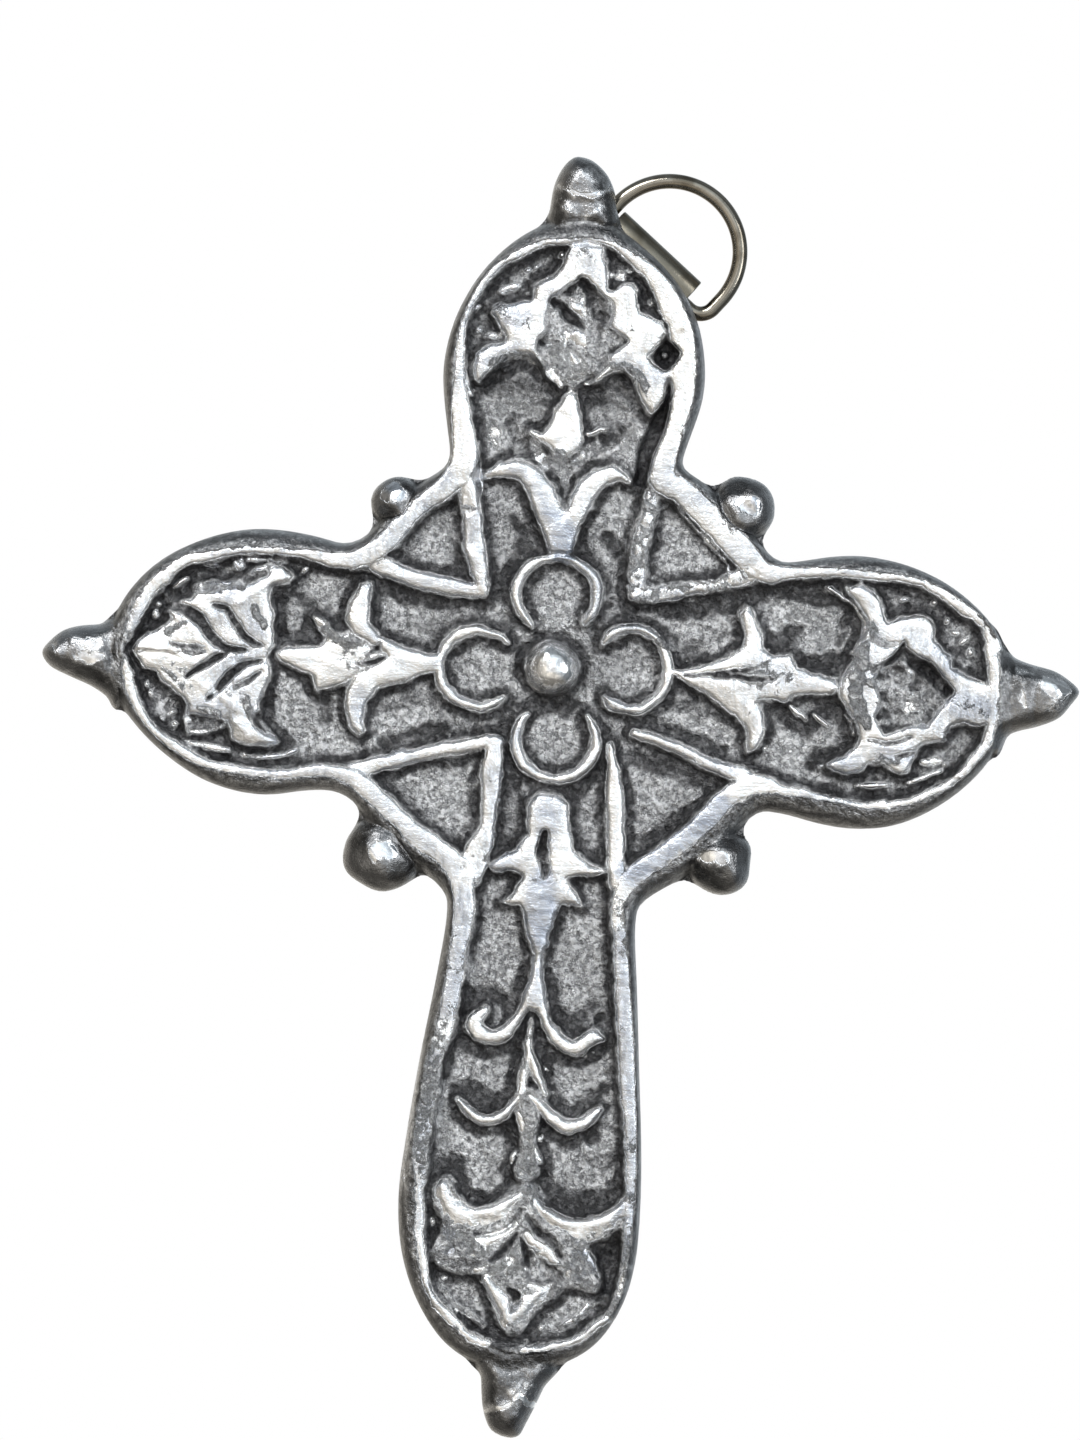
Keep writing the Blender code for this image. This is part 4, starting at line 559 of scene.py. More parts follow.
# hollows cut into the islands: depth of the floor, roughness, brightness, outline
HEARTS = (
    (4.25, 0.75, 0.62, (
        (1.0, 51.4), (2.4, 50.2), (3.9, 49.2), (5.2, 48.3), (5.4, 46.6), (5.2, 45.2), (6.2, 44.2),
        (7.5, 43.4), (6.6, 42.4), (5.2, 41.4), (5.0, 40.2), (3.4, 38.4), (1.8, 37.0), (0.6, 36.2),
        (-1.0, 37.2), (-2.8, 38.8), (-3.6, 40.2), (-4.2, 41.8), (-3.8, 43.2), (-3.0, 44.2),
        (-3.2, 46.0), (-2.7, 48.4), (-1.2, 49.6), (0.1, 50.4),
    )),
    (4.3, 0.85, 0.32, (
        (41.2, 1.4), (42.4, 3.6), (45.0, 6.7), (45.8, 5.6), (47.8, 4.6), (49.8, 3.0), (51.4, 0.6),
        (50.6, -1.2), (49.2, -2.6), (48.4, -4.0), (46.4, -3.8), (44.4, -4.6), (43.2, -5.0),
        (41.6, -3.2), (42.4, -1.0),
    )),
    (3.9, 0.3, 0.3, ((-0.4, -19.9), (0.4, -19.9), (0.5, -22.5), (0.9, -25.2), (0.4, -25.9),
                     (0.0, -24.4), (-0.6, -22.8))),
    (4.6, 0.25, 0.35, ((-46.3, 8.0), (-45.6, 9.2), (-44.0, 9.6), (-42.4, 9.1), (-40.4, 10.2),
                       (-38.6, 11.5), (-36.8, 12.1), (-37.4, 11.2), (-39.4, 9.8), (-43.0, 8.7))),
    (4.2, 0.2, 0.35, ((-46.6, -7.4), (-41.6, -7.9), (-41.8, -8.6), (-44.0, -9.3), (-46.4, -9.6))),
    (4.4, 0.6, 0.55, ((0.4, -73.0), (2.2, -74.6), (4.6, -75.6), (6.6, -77.8), (3.0, -78.0),
                      (1.2, -77.8), (0.2, -76.0))),
    (3.6, 0.2, 0.2, ((-1.5, -79.0), (0.1, -79.3), (-0.3, -80.8), (-0.7, -82.0), (-1.1, -80.8))),
    (1.7, 0.2, 0.0, ((12.9, 38.9), (13.2, 37.0), (12.8, 33.8), (11.6, 29.4), (10.5, 25.2),
                     (9.3, 25.0),
                     (9.4, 27.4), (10.0, 31.0), (10.8, 33.0), (12.1, 34.9), (12.7, 37.2))),
    (2.4, 0.3, 0.0, ((11.0, 42.0), (12.2, 43.7), (13.4, 43.2), (14.2, 42.2), (13.4, 41.0),
                     (11.7, 40.5))),
    (2.4, 0.3, 0.0, ((9.4, -72.7), (12.6, -71.9), (12.6, -75.4), (11.6, -78.6), (10.6, -78.9),
                     (10.7, -76.4), (10.0, -74.4))),
)

# veins and clefts: depth, x, z, half width along each line
VEINS = (
    (1.1, ((-49.8, 6.1, 0.3), (-47.2, 5.9, 0.6), (-45.3, 4.3, 0.6), (-43.7, 2.5, 0.55),
           (-41.6, 1.4, 0.35), (-39.4, 1.35, 0.15))),
    (0.9, ((-44.0, 6.7, 0.15), (-42.2, 6.2, 0.28), (-40.8, 4.5, 0.35), (-39.6, 2.9, 0.3),
           (-37.6, 2.0, 0.15))),
    (0.9, ((-46.7, -2.6, 0.15), (-44.8, -1.2, 0.45), (-43.1, 0.1, 0.45), (-41.8, 0.8, 0.15))),
    (1.0, ((-43.8, -5.2, 0.15), (-42.5, -3.6, 0.35), (-41.0, -1.9, 0.38), (-39.4, -0.5, 0.33),
           (-37.4, 0.2, 0.15))),
    (0.35, ((-49.0, 1.6, 0.12), (-47.0, 1.3, 0.25), (-44.8, 1.5, 0.12))),
    (0.35, ((-48.0, 0.5, 0.12), (-46.4, 0.6, 0.2), (-44.6, 0.8, 0.12))),
    (0.5, ((-40.6, -3.6, 0.15), (-39.0, -2.9, 0.25), (-37.4, -1.6, 0.15))),
    (0.9, ((-37.6, -7.0, 0.3), (-37.6, -8.2, 0.3), (-36.4, -9.2, 0.12))),
    (0.9, ((41.2, 2.6, 0.15), (43.4, 4.4, 0.22), (45.1, 6.7, 0.15))),
    (1.0, ((46.0, 4.2, 0.3), (48.0, 3.2, 0.5), (49.8, 1.4, 0.5), (51.0, 0.3, 0.3))),
    (0.7, ((20.6, 0.9, 0.12), (24.0, 1.1, 0.3), (28.4, 0.9, 0.15))),
    (0.6, ((17.0, 1.0, 0.12), (22.6, 1.6, 0.2), (26.0, 2.4, 0.15))),
    (1.2, ((-2.4, 47.8, 0.3), (-0.8, 46.6, 0.55), (0.6, 45.5, 0.4), (1.8, 44.7, 0.2))),
    (0.8, ((1.0, 51.0, 0.15), (2.0, 49.6, 0.5), (3.2, 48.0, 0.8), (3.6, 46.4, 0.6))),
    (0.7, ((-3.6, 42.8, 0.15), (-2.6, 42.4, 0.35), (-1.4, 42.9, 0.15))),
    (0.9, ((-3.7, -75.3, 0.3), (-1.9, -73.6, 0.35), (-0.9, -71.9, 0.15))),
    (0.8, ((-0.2, -72.4, 0.15), (0.6, -74.2, 0.3), (1.2, -76.0, 0.2))),
    (0.7, ((-6.2, -72.2, 0.15), (-3.6, -72.0, 0.25), (-1.4, -70.4, 0.2), (-0.3, -68.6, 0.12))),
    (0.7, ((0.4, -69.2, 0.12), (1.8, -71.0, 0.4), (3.8, -72.6, 0.4), (5.4, -74.6, 0.2))),
    (0.4, ((-53.0, 0.2, 0.1), (-50.0, 0.4, 0.15), (-47.4, -0.2, 0.1))),
    (0.5, ((40.4, 6.6, 0.1), (42.4, 6.4, 0.25), (44.0, 6.6, 0.1))),
    (0.5, ((41.0, -5.8, 0.1), (44.0, -6.2, 0.2), (46.4, -5.4, 0.1))),
    (0.5, ((43.4, 2.9, 0.4), (44.8, 2.9, 0.4))),
    (0.5, ((46.6, -7.4, 0.12), (45.6, -7.8, 0.25), (44.6, -8.0, 0.1))),
    (0.5, ((-24.0, 1.6, 0.1), (-22.6, 2.4, 0.2), (-22.0, 3.0, 0.1))),
    (0.5, ((-25.0, 0.4, 0.1), (-23.0, 0.8, 0.2), (-21.6, 1.2, 0.1))),
)

# painted shade beside and under the raised work, swept in slight hollows of the ground: x, z, half
# width
SHADES = (
    ((-8.9, -43.6, 0.5), (-8.0, -41.8, 0.7), (-6.0, -41.0, 0.8), (-4.4, -41.7, 0.7),
     (-3.2, -43.0, 0.7)),
    ((-2.8, -41.0, 0.5), (-1.9, -38.4, 0.5), (-1.6, -36.0, 0.4)),
    ((3.4, -43.6, 0.6), (5.0, -44.6, 1.0), (6.2, -43.2, 0.9), (7.6, -42.4, 0.8),
     (8.9, -43.8, 0.6)),
    ((1.8, -38.0, 0.5), (2.6, -41.0, 0.6), (3.4, -43.6, 0.6)),
    ((-9.8, -53.6, 0.6), (-8.4, -53.1, 0.9), (-6.6, -54.2, 0.9), (-5.0, -55.0, 0.8),
     (-3.4, -54.4, 0.7), (-2.4, -52.4, 0.6), (-1.8, -49.0, 0.5)),
    ((1.6, -49.6, 0.6), (2.6, -52.6, 0.8), (4.0, -54.8, 0.9), (6.0, -55.6, 0.9), (7.8, -54.4, 0.8),
     (9.2, -52.6, 0.7)),
    ((-9.0, -47.4, 0.6), (-7.0, -48.8, 0.6), (-5.0, -49.0, 0.6), (-3.0, -48.0, 0.7)),
    ((2.4, -48.2, 0.7), (4.4, -49.4, 0.7), (6.6, -49.4, 0.6), (8.8, -48.0, 0.7)),
    ((-9.2, -57.0, 0.6), (-7.0, -58.7, 0.7), (-5.0, -59.1, 0.7), (-3.0, -58.4, 0.7),
     (-2.2, -61.0, 0.6), (-2.6, -63.6, 0.8), (-1.2, -65.4, 0.8)),
    ((2.4, -58.4, 0.8), (5.4, -59.8, 1.0), (8.2, -58.8, 0.9)),
    ((2.2, -60.6, 0.7), (2.6, -63.4, 0.8), (1.4, -65.4, 0.8)),
    ((-11.2, -64.2, 0.6), (-10.2, -63.0, 0.8), (-8.8, -63.2, 0.9), (-8.2, -65.2, 0.9),
     (-6.8, -67.2, 1.0), (-4.8, -67.9, 0.9), (-2.6, -66.6, 0.8), (-1.4, -65.2, 0.8)),
    ((2.0, -65.0, 0.9), (3.4, -66.4, 1.3), (6.0, -67.4, 1.8), (9.0, -67.4, 1.8), (11.0, -66.4, 1.4),
     (12.2, -64.6, 0.8)),
    ((-10.8, 36.8, 0.5), (-9.2, 38.2, 0.9), (-7.0, 39.4, 1.0), (-4.8, 39.8, 0.9),
     (-3.2, 38.2, 0.7), (-2.0, 36.8, 0.5)),
    ((3.4, 37.4, 0.7), (5.2, 38.4, 0.9), (7.0, 38.0, 1.1), (8.6, 36.4, 0.8), (9.8, 34.0, 0.6)),
    ((-3.0, 35.0, 0.5), (-5.4, 34.2, 0.8), (-7.0, 32.4, 0.6), (-6.4, 30.4, 0.5),
     (-4.8, 29.4, 0.6), (-2.4, 28.4, 0.6)),
    ((2.6, 35.2, 0.5), (4.8, 35.6, 0.7), (7.0, 34.4, 0.6), (7.2, 32.2, 0.5), (5.8, 30.6, 0.6),
     (3.4, 29.6, 0.5)),
    ((-35.0, 8.6, 0.6), (-35.2, 5.0, 0.7), (-34.6, 2.9, 0.5)),
    ((-33.6, 8.9, 0.4), (-31.6, 7.4, 0.8), (-31.4, 5.4, 0.9), (-32.4, 3.4, 0.6)),
    ((-35.8, -4.6, 0.5), (-36.0, -7.4, 0.6), (-34.6, -9.2, 0.6), (-33.2, -10.4, 0.5)),
    ((-31.0, -3.4, 0.5), (-29.2, -4.6, 0.9), (-28.6, -6.8, 0.7)),
    ((38.4, 11.4, 0.5), (38.8, 9.2, 0.6), (38.6, 6.6, 0.6), (37.4, 4.2, 0.7), (34.4, 3.6, 0.9),
     (31.6, 3.8, 0.6)),
    ((35.6, 12.8, 0.5), (37.0, 10.8, 0.5), (37.2, 8.4, 0.4), (36.6, 6.2, 0.4)),
    ((27.4, 6.0, 0.6), (29.0, 6.2, 0.7), (30.8, 7.4, 0.9)),
    ((29.6, -2.6, 0.9), (31.0, -4.4, 0.8), (33.0, -5.2, 0.7), (34.8, -3.0, 0.8), (36.8, -2.8, 0.7),
     (38.0, -4.8, 0.7), (38.2, -6.8, 0.7), (36.4, -8.0, 0.7), (34.4, -8.4, 0.8),
     (33.8, -9.8, 0.6)),
    ((13.6, -5.6, 0.4), (18.0, -6.8, 0.5), (22.4, -8.4, 0.5)),
    ((14.0, 8.8, 0.5), (18.0, 9.4, 0.8), (23.0, 10.6, 0.9), (29.0, 12.0, 0.7), (35.0, 11.6, 0.9)),
    ((-12.6, 8.4, 0.6), (-17.0, 8.8, 0.7), (-22.4, 9.8, 0.6)),
    ((-13.4, -7.2, 0.4), (-17.0, -8.2, 0.5), (-21.6, -9.4, 0.5)),
    ((11.0, -9.8, 0.8), (16.0, -11.2, 0.9), (21.6, -13.4, 0.7)),
    ((13.2, -20.6, 0.8), (17.6, -17.2, 0.8), (21.2, -14.4, 0.6)),
    ((-2.4, -3.6, 0.6), (0.4, -4.4, 1.0), (3.0, -3.4, 0.6)),
    ((6.4, 18.0, 0.9), (8.4, 14.4, 0.9), (9.4, 9.6, 1.0)),
    ((-6.4, 20.0, 0.5), (-4.6, 17.4, 0.6), (-5.4, 13.8, 0.9), (-7.4, 10.2, 0.9)),
    ((7.2, -7.2, 0.9), (6.2, -11.0, 0.6), (4.9, -14.6, 0.5)),
    ((-5.8, -7.0, 0.9), (-4.6, -11.6, 0.6), (-3.8, -14.6, 0.5)),
)

# ---------------------------------------------------------------- lines and fields


def smooth_line(points, step, closed=False):
    """Rows along a Catmull-Rom curve through the given rows, one step apart in the plane."""
    pts = np.array(points, float)
    if closed:
        ends = np.vstack([pts[-1:], pts, pts[:2]])
    else:
        ends = np.vstack([2 * pts[:1] - pts[1:2], pts, 2 * pts[-1:] - pts[-2:-1]])
    line = []
    for a, b, c, d in zip(ends, ends[1:], ends[2:], ends[3:]):
        count = max(1, round(float(np.linalg.norm((c - b)[:2])) / step))
        t = (np.arange(count) / count)[:, None]
        line.append(0.5 * (2 * b + (c - a) * t + (2 * a - 5 * b + 4 * c - d) * t * t
                           + (3 * b - a - 3 * c + d) * t ** 3))
    if not closed:
        line.append(pts[-1:])
    return np.vstack(line)


def body_outline(step):
    """The casting's outline without knobs and finials: each arm, then the ring up to the next."""
    lines = []
    for arm, (first, last, radius) in zip((TOP_ARM, LEFT_ARM, BOTTOM_ARM, RIGHT_ARM), RING_ARCS):
        lines.append(smooth_line(arm, step))
        start, end = np.radians((first, last))
        turns = np.linspace(start, end, max(2, round(radius * (end - start) / step)))
        lines.append(np.stack([RING_CENTRE[0] + radius * np.cos(turns),
                               RING_CENTRE[1] + radius * np.sin(turns)], axis=1))
    line = np.vstack(lines)
    for _ in range(3):
        line = 0.25 * np.roll(line, 1, axis=0) + 0.5 * line + 0.25 * np.roll(line, -1, axis=0)
    return line


def near(low, high, axis):
    """The slice of a raster axis between two values."""
    return slice(max(0, int(np.searchsorted(axis, low))), int(np.searchsorted(axis, high)))


def stroke(rows, reach=2.0, win=None, closed=False, extra=False):
    """Signed distance to a line of changing half width over a window of the raster.

    With extra, the line's fourth column comes too.
    """
    rows = np.array(rows, float)
    margin = reach + rows[:, 2].max()
    if win is None:
        low, high = rows[:, :2].min(axis=0) - margin, rows[:, :2].max(axis=0) + margin
        win = near(low[0], high[0], XS), near(low[1], high[1], ZS)
    xs, zs = XS[win[0]], ZS[win[1]]
    field = np.full((len(xs), len(zs)), -reach)
    value = np.zeros(field.shape)
    following = np.roll(rows, -1, axis=0) if closed else rows[1:]
    for a, b in zip(rows, following):
        wide = reach + max(a[2], b[2])
        i = near(min(a[0], b[0]) - wide, max(a[0], b[0]) + wide, xs)
        j = near(min(a[1], b[1]) - wide, max(a[1], b[1]) + wide, zs)
        x, z = xs[i, None], zs[None, j]
        span = b[:2] - a[:2]
        t = np.clip(((x - a[0]) * span[0] + (z - a[1]) * span[1]) / max(span @ span, 1e-9), 0, 1)
        away = np.hypot(x - a[0] - span[0] * t, z - a[1] - span[1] * t)
        inside = a[2] + (b[2] - a[2]) * t - away
        better = inside > field[i, j]
        field[i, j] = np.where(better, inside, field[i, j])
        if extra:
            value[i, j] = np.where(better, a[3] + (b[3] - a[3]) * t, value[i, j])
    return (win, field, value) if extra else (win, field)


def region(points, reach=3.0, win=None, soft=0.0):
    """Signed distance to a closed outline, positive inside, over a window of the raster."""
    line = np.array(points, float)
    edged = np.column_stack([line, np.zeros(len(line))])
    win, edge = stroke(edged, reach, win, closed=True)
    xs, zs = XS[win[0]], ZS[win[1]]
    inside = np.zeros(edge.shape, bool)
    for a, b in zip(line, np.roll(line, -1, axis=0)):
        rows = np.nonzero((a[1] > zs) != (b[1] > zs))[0]
        if len(rows):
            cross = a[0] + (zs[rows] - a[1]) / (b[1] - a[1]) * (b[0] - a[0])
            inside[:, rows] ^= xs[:, None] < cross[None, :]
    field = np.where(inside, -edge, edge)
    return win, blur(field, soft) if soft else field


def blend(a, b, share):
    """The first value at share 0, the second at share 1."""
    return a * (1 - share) + b * share


def between(table, i, j, u, v):
    """The table's values at shares u and v of the way across its cells."""
    return blend(blend(table[i, j], table[i + 1, j], u),
                 blend(table[i, j + 1], table[i + 1, j + 1], u), v)


def noise(size, seed):
    """Smooth random field from -1 to 1 with lumps of about this size in millimetres."""
    rng = np.random.default_rng(seed)
    u, v = (GRID_X - XS[0]) / size, (GRID_Z - ZS[0]) / size
    table = rng.uniform(-1, 1, (int(u.max()) + 3, int(v.max()) + 3))
    i, j = u.astype(int), v.astype(int)
    u, v = u - i, v - j
    return between(table, i, j, u * u * (3 - 2 * u), v * v * (3 - 2 * v))


def facets(size, seed):
    """Random flat facets about this wide: each cell of a scattered net has its own slope."""
    rng = np.random.default_rng(seed)
    u, v = (GRID_X - XS[0]) / size + 1, (GRID_Z - ZS[0]) / size + 1
    shape = (int(u.max()) + 3, int(v.max()) + 3)
    px, pz, level, sx, sz = rng.uniform(0, 1, (5,) + shape)
    i, j = u.astype(int), v.astype(int)
    best = np.full(u.shape, np.inf)
    height = np.zeros(u.shape)
    for di in (-1, 0, 1):
        for dj in (-1, 0, 1):
            a, b = i + di, j + dj
            du, dv = u - a - px[a, b], v - b - pz[a, b]
            away = du * du + dv * dv
            plane = level[a, b] - 0.5 + 1.6 * ((sx[a, b] - 0.5) * du + (sz[a, b] - 0.5) * dv)
            closer = away < best
            best = np.where(closer, away, best)
            height = np.where(closer, plane, height)
    return height


def blur(field, size):
    """Gaussian blur with the given spread in millimetres."""
    pad = int(4 * size / STEP) + 1
    wide = np.pad(field, pad, mode="edge")
    fx = np.fft.fftfreq(wide.shape[0], STEP)[:, None]
    fz = np.fft.rfftfreq(wide.shape[1], STEP)[None, :]
    soft = np.fft.rfft2(wide) * np.exp(-2 * (math.pi * size) ** 2 * (fx * fx + fz * fz))
    return np.fft.irfft2(soft, s=wide.shape)[pad:-pad, pad:-pad]


def smooth(value, low, high):
    """0 at low and 1 at high, with soft ends. It falls where low is the larger."""
    t = np.clip((value - low) / (high - low), 0, 1)
    return t * t * (3 - 2 * t)


def rounded_max(a, b, radius):
    """The larger of two distances, with the corner between them filled to a radius."""
    return np.maximum(a, b) + np.maximum(radius - np.abs(a - b), 0) ** 2 / (4 * radius)


def sample(field, x, z):
    """Bilinear value of a raster field at points in millimetres."""
    u = np.clip((x - XS[0]) / STEP, 0, len(XS) - 1.001)
    v = np.clip((z - ZS[0]) / STEP, 0, len(ZS) - 1.001)
    i, j = u.astype(int), v.astype(int)
    return between(field, i, j, u - i, v - j)


# ---------------------------------------------------------------- relief


class Relief:
    """The front of the casting as fields over the raster.

    height: above the back face.          back: y of the uneven back.
    body: distance inside the outline.    hull: the same, knobs and finials included.
    near: distance inside raised work.    outer: the side outside the rim.
    polish_and_highlight: 0 is ground, 1 uncoated metal; painted highlights too.    cool: 0 is warm white metal, 1 blue grey; painted shade too.
    grime_and_shade: dirt and painted shade laid in single places.    soot_and_shade: all of the black antiquing, painted shade too.
    slick: the skin without grain.        set: places that keep the tone laid on them.
    """

    def __init__(self):
        self.body = region(body_outline(OUTLINE_STEP), REACH, WHOLE)[1]
        self.swell = 0.15 * noise(4.2, 5) + 0.09 * noise(1.9, 6) + 0.045 * noise(0.9, 7)
        self.crag = facets(1.7, 20) + 0.45 * facets(0.8, 21)
        self.height = GROUND + self.swell + 0.22 * facets(1.2, 8) + 0.1 * facets(0.7, 9)
        self.polish_and_highlight = 0.3 + 0.1 * smooth(-GRID_Z, 30.0, 36.0) * smooth(-GRID_Z, 66.0, 54.0)
        self.grime_and_shade = np.zeros(GRID_X.shape)
        self.rim()
        for bright, rows in BARS:
            spot = stroke(smooth_line(rows, 0.6))
            self.add(spot, BAR_TOP, bright, wall=0.8)
            self.crumble(spot, bright, (-0.5, 0.1), 0.8, 1.2)
        self.petals()
        for top, bright, outline in ISLANDS.values():
            spot = region(outline, 4.0, soft=0.15)
            self.add(spot, top, bright, crown=0.3)
            self.crumble(spot, bright, (0.0, 0.5), 0.35, 0.9)
        for top, bright, rows in STEMS:
            self.add(stroke(smooth_line(rows, 0.5)), top, bright, wall=0.75, crown=0.3)
        for floor, rough, bright, outline in HEARTS:
            self.cut(region(outline, soft=0.12), floor, rough, bright)
        for depth, rows in VEINS:
            self.groove(stroke(smooth_line(rows, 0.5)), depth)
        self.sweep()
        self.specks()
        self.boss()
        self.sides()
        self.lumps()
        self.tones()
        self.sheen()
        self.antique(*self.skin())
        self.back = -smooth(self.hull, 0.8, 4.0) * (0.45 + 0.25 * noise(9.0, 50)
                                                    + 0.2 * noise(3.4, 51))

    def lift(self, win, candidate, bright):
        """Takes the candidate height and its brightness where it is the higher."""
        higher = candidate > self.height[win]
        self.polish_and_highlight[win] = np.where(higher, bright, self.polish_and_highlight[win])
        self.height[win] = np.where(higher, candidate, self.height[win])

    def lay_dirt_and_shade(self, win, amount):
        """Lays at least this much darkness: dirt for grooves and hollows, painted shade for the
        swept shade.
        """
        self.grime_and_shade[win] = np.maximum(self.grime_and_shade[win], amount)

    def add(self, spot, top, bright, wall=1.0, crown=0.2):
        """Raises an island: a wall outside its edge, a gently crowned top inside it."""
        win, inside = spot
        rise = smooth(inside, -wall, 0.4) ** 0.85
        swell = crown * (1 - np.exp(-np.maximum(inside, 0) / 0.9)) + self.swell[win]
        base = GROUND - WALL_FOOT
        self.near[win] = np.maximum(self.near[win], inside)
        self.lift(win, base + (top - base) * rise + swell * rise,
                  bright * smooth(inside, -0.36, 0.14))

    def crumble(self, spot, bright, edge, rough, uneven):
        """Breaks raised work into small facets, the more the duller it is."""
        win, inside = spot
        broken = (1 - bright) * smooth(inside, *edge) * self.crag[win]
        self.height[win] += rough * broken
        self.polish_and_highlight[win] += uneven * broken

    def cut(self, spot, floor, rough, bright):
        """Sinks a hollow whose floor is broken into small facets."""
        win, inside = spot
        depth = smooth(inside, -0.35, 0.3)
        crag = self.crag[win]
        before = self.height[win]
        self.height[win] = blend(before, np.minimum(floor + rough * crag, before), depth)
        lit = np.clip(bright - 0.12 + 0.6 * crag, 0, 1)
        self.polish_and_highlight[win] = blend(self.polish_and_highlight[win], lit, depth)
        edge = 0.6 * depth * smooth(inside, 0.8, 0.1)
        dim = (0.9 - 1.6 * bright) * depth
        self.lay_dirt_and_shade(win, np.maximum(edge, dim))

    def groove(self, spot, depth):
        """Cuts a dark line of this depth."""
        win, inside = spot
        share = smooth(inside, -0.3, 0.2)
        self.height[win] -= depth * share
        self.polish_and_highlight[win] *= 1 - 0.85 * share
        self.lay_dirt_and_shade(win, 0.6 * share)

    def rim(self):
        """The raised rim: a wall towards the ground, and level outwards to the side."""
        rows = smooth_line(RIM, OUTLINE_STEP, closed=True)
        _, inside, bright = stroke(rows, REACH, WHOLE, closed=True, extra=True)
        inner = region(rows[:, :2], REACH, WHOLE)[1] > 0
        rise = smooth(inside, -1.0, 0.2) ** 0.85
        top = RIM_TOP + 0.15 * (1 - np.exp(-np.maximum(inside, 0) / 0.7)) + 0.6 * self.swell
        wall = GROUND - WALL_FOOT + (top - GROUND + WALL_FOOT) * rise
        self.rim_inside, self.rim_inner = inside, inner
        self.near = inside.copy()
        lit = bright * smooth(inside, -0.32, 0.14)
        self.lift(WHOLE, np.where(inner, wall, top),
                  np.where(inner | (inside > -0.6), lit, 0.0))

    def petals(self):
        """Open loops of wire, thinned at both ends."""
        for index, (centre, reach, angles) in enumerate(PETALS):
            turns = np.radians(np.linspace(*angles, 60))
            rows = np.column_stack([centre[0] + reach[0] * np.cos(turns),
                                    centre[1] + reach[1] * np.sin(turns),
                                    PETAL_HALF * (0.92 + 0.14 * np.sin(3 * turns + index))])
            rows[:5, 2] *= np.linspace(0.4, 1.0, 5)
            rows[-5:, 2] *= np.linspace(1.0, 0.4, 5)
            self.add(stroke(rows), PETAL_TOP, 1.0, wall=0.75)

    def sweep(self):
        """Painted shade on the ground beside and under the raised work, in slight hollows."""
        ragged = 0.3 * noise(1.1, 70) + 0.15 * noise(0.5, 71)
        for rows in SHADES:
            win, inside = stroke(smooth_line(rows, 0.6))
            shade = smooth(inside + ragged[win], -0.7, 0.4)
            shade *= smooth(self.height[win], GROUND + 0.9, GROUND + 0.3)
            self.height[win] -= 0.35 * shade
            # the darkness laid here is painted shade
            self.lay_dirt_and_shade(win, 0.8 * shade)

    def specks(self):
        """Raised flash lines and loose bright grains."""
        ragged = noise(0.7, 90)
        for top, rows in SEAMS:
            win, inside = stroke(smooth_line(rows, 0.4), 1.0)
            self.small(win, smooth(inside + 0.1 * ragged[win], -0.28, 0.08), top)
        for x, z, along, across, turn, top in CHIPS:
            win = (near(x - CHIP_REACH, x + CHIP_REACH, XS),
                   near(z - CHIP_REACH, z + CHIP_REACH, ZS))
            c, s = math.cos(math.radians(turn)), math.sin(math.radians(turn))
            dx, dz = GRID_X[win] - x, GRID_Z[win] - z
            size = np.hypot((dx * c + dz * s) / along, (dz * c - dx * s) / across)
            self.small(win, smooth(size + 0.35 * ragged[win], 1.3, 0.7), top)

    def small(self, win, share, top):
        """Raises a bright speck or line to its own height."""
        before = self.height[win]
        self.height[win] = np.maximum(before, blend(before, top, share))
        self.polish_and_highlight[win] = blend(self.polish_and_highlight[win], 0.9, share)
        self.grime_and_shade[win] *= 1 - 0.9 * share

    def boss(self):
        """The round boss with a groove at its foot."""
        away = np.hypot(GRID_X - BOSS_CENTRE[0], GRID_Z - BOSS_CENTRE[1])
        groove = np.exp(-((away - BOSS_RADIUS - 0.5) / 0.7) ** 2)
        self.height -= 0.5 * groove * (self.height > 2.0)
        self.polish_and_highlight *= 1 - 0.9 * groove
        self.near = np.maximum(self.near, BOSS_RADIUS - 0.3 - away)
        share = np.clip(1 - (away / BOSS_RADIUS) ** 2, 0, 1)
        dome = GROUND - 0.6 + (BOSS_TOP - GROUND + 0.6) * np.sqrt(share) + 0.1 * self.swell
        # the dome's metal brightens towards its top: a painted highlight
        self.lift(WHOLE, np.where(away < BOSS_RADIUS, dome, 0.0),
                  0.55 + 0.35 * smooth(share, 0.3, 0.95))
        self.slick = smooth(share, 0.0, 0.25)

    def sides(self):
        """The rounded side between the rim's outer edge and the back edge."""
        beyond = np.maximum(-self.rim_inside, 0)
        share = beyond / (np.clip(self.body, 0, None) + beyond + 1e-6)
        rise = EDGE + (RIM_TOP - EDGE) * np.sqrt(np.clip(1 - share ** 2, 0, 1)) + 0.5 * self.swell
        self.outer = (~self.rim_inner) & (self.rim_inside < 0.0)
        self.height = np.where(self.outer, np.minimum(self.height, rise), self.height)
        self.streak = 0.5 + 0.5 * self.along(2.6, 67)
        # wear streaks along the rim's outer shoulder, and a painted highlight along the back edge
        # of the side
        wear_and_edge_highlight = (0.4 * smooth(share, 0.5, 0.0) * (0.4 + 0.8 * self.streak)
                + 0.3 * smooth(share, 0.8, 1.0))
        self.polish_and_highlight = np.where(self.outer, np.maximum(self.polish_and_highlight, wear_and_edge_highlight), self.polish_and_highlight)
        self.slick = np.where(self.outer, 0.5, self.slick)
        self.hull = self.body.copy()

    def along(self, lines, seed):
        """Streaks that follow the outline, this many to the millimetre, from -1 to 1."""
        table = np.random.default_rng(seed).uniform(-1, 1, 400)
        level = (self.body + 9.0) * lines + 2.5 * noise(7.0, seed) + 0.8 * noise(2.0, seed + 1)
        return np.interp(level, np.arange(len(table)), table)

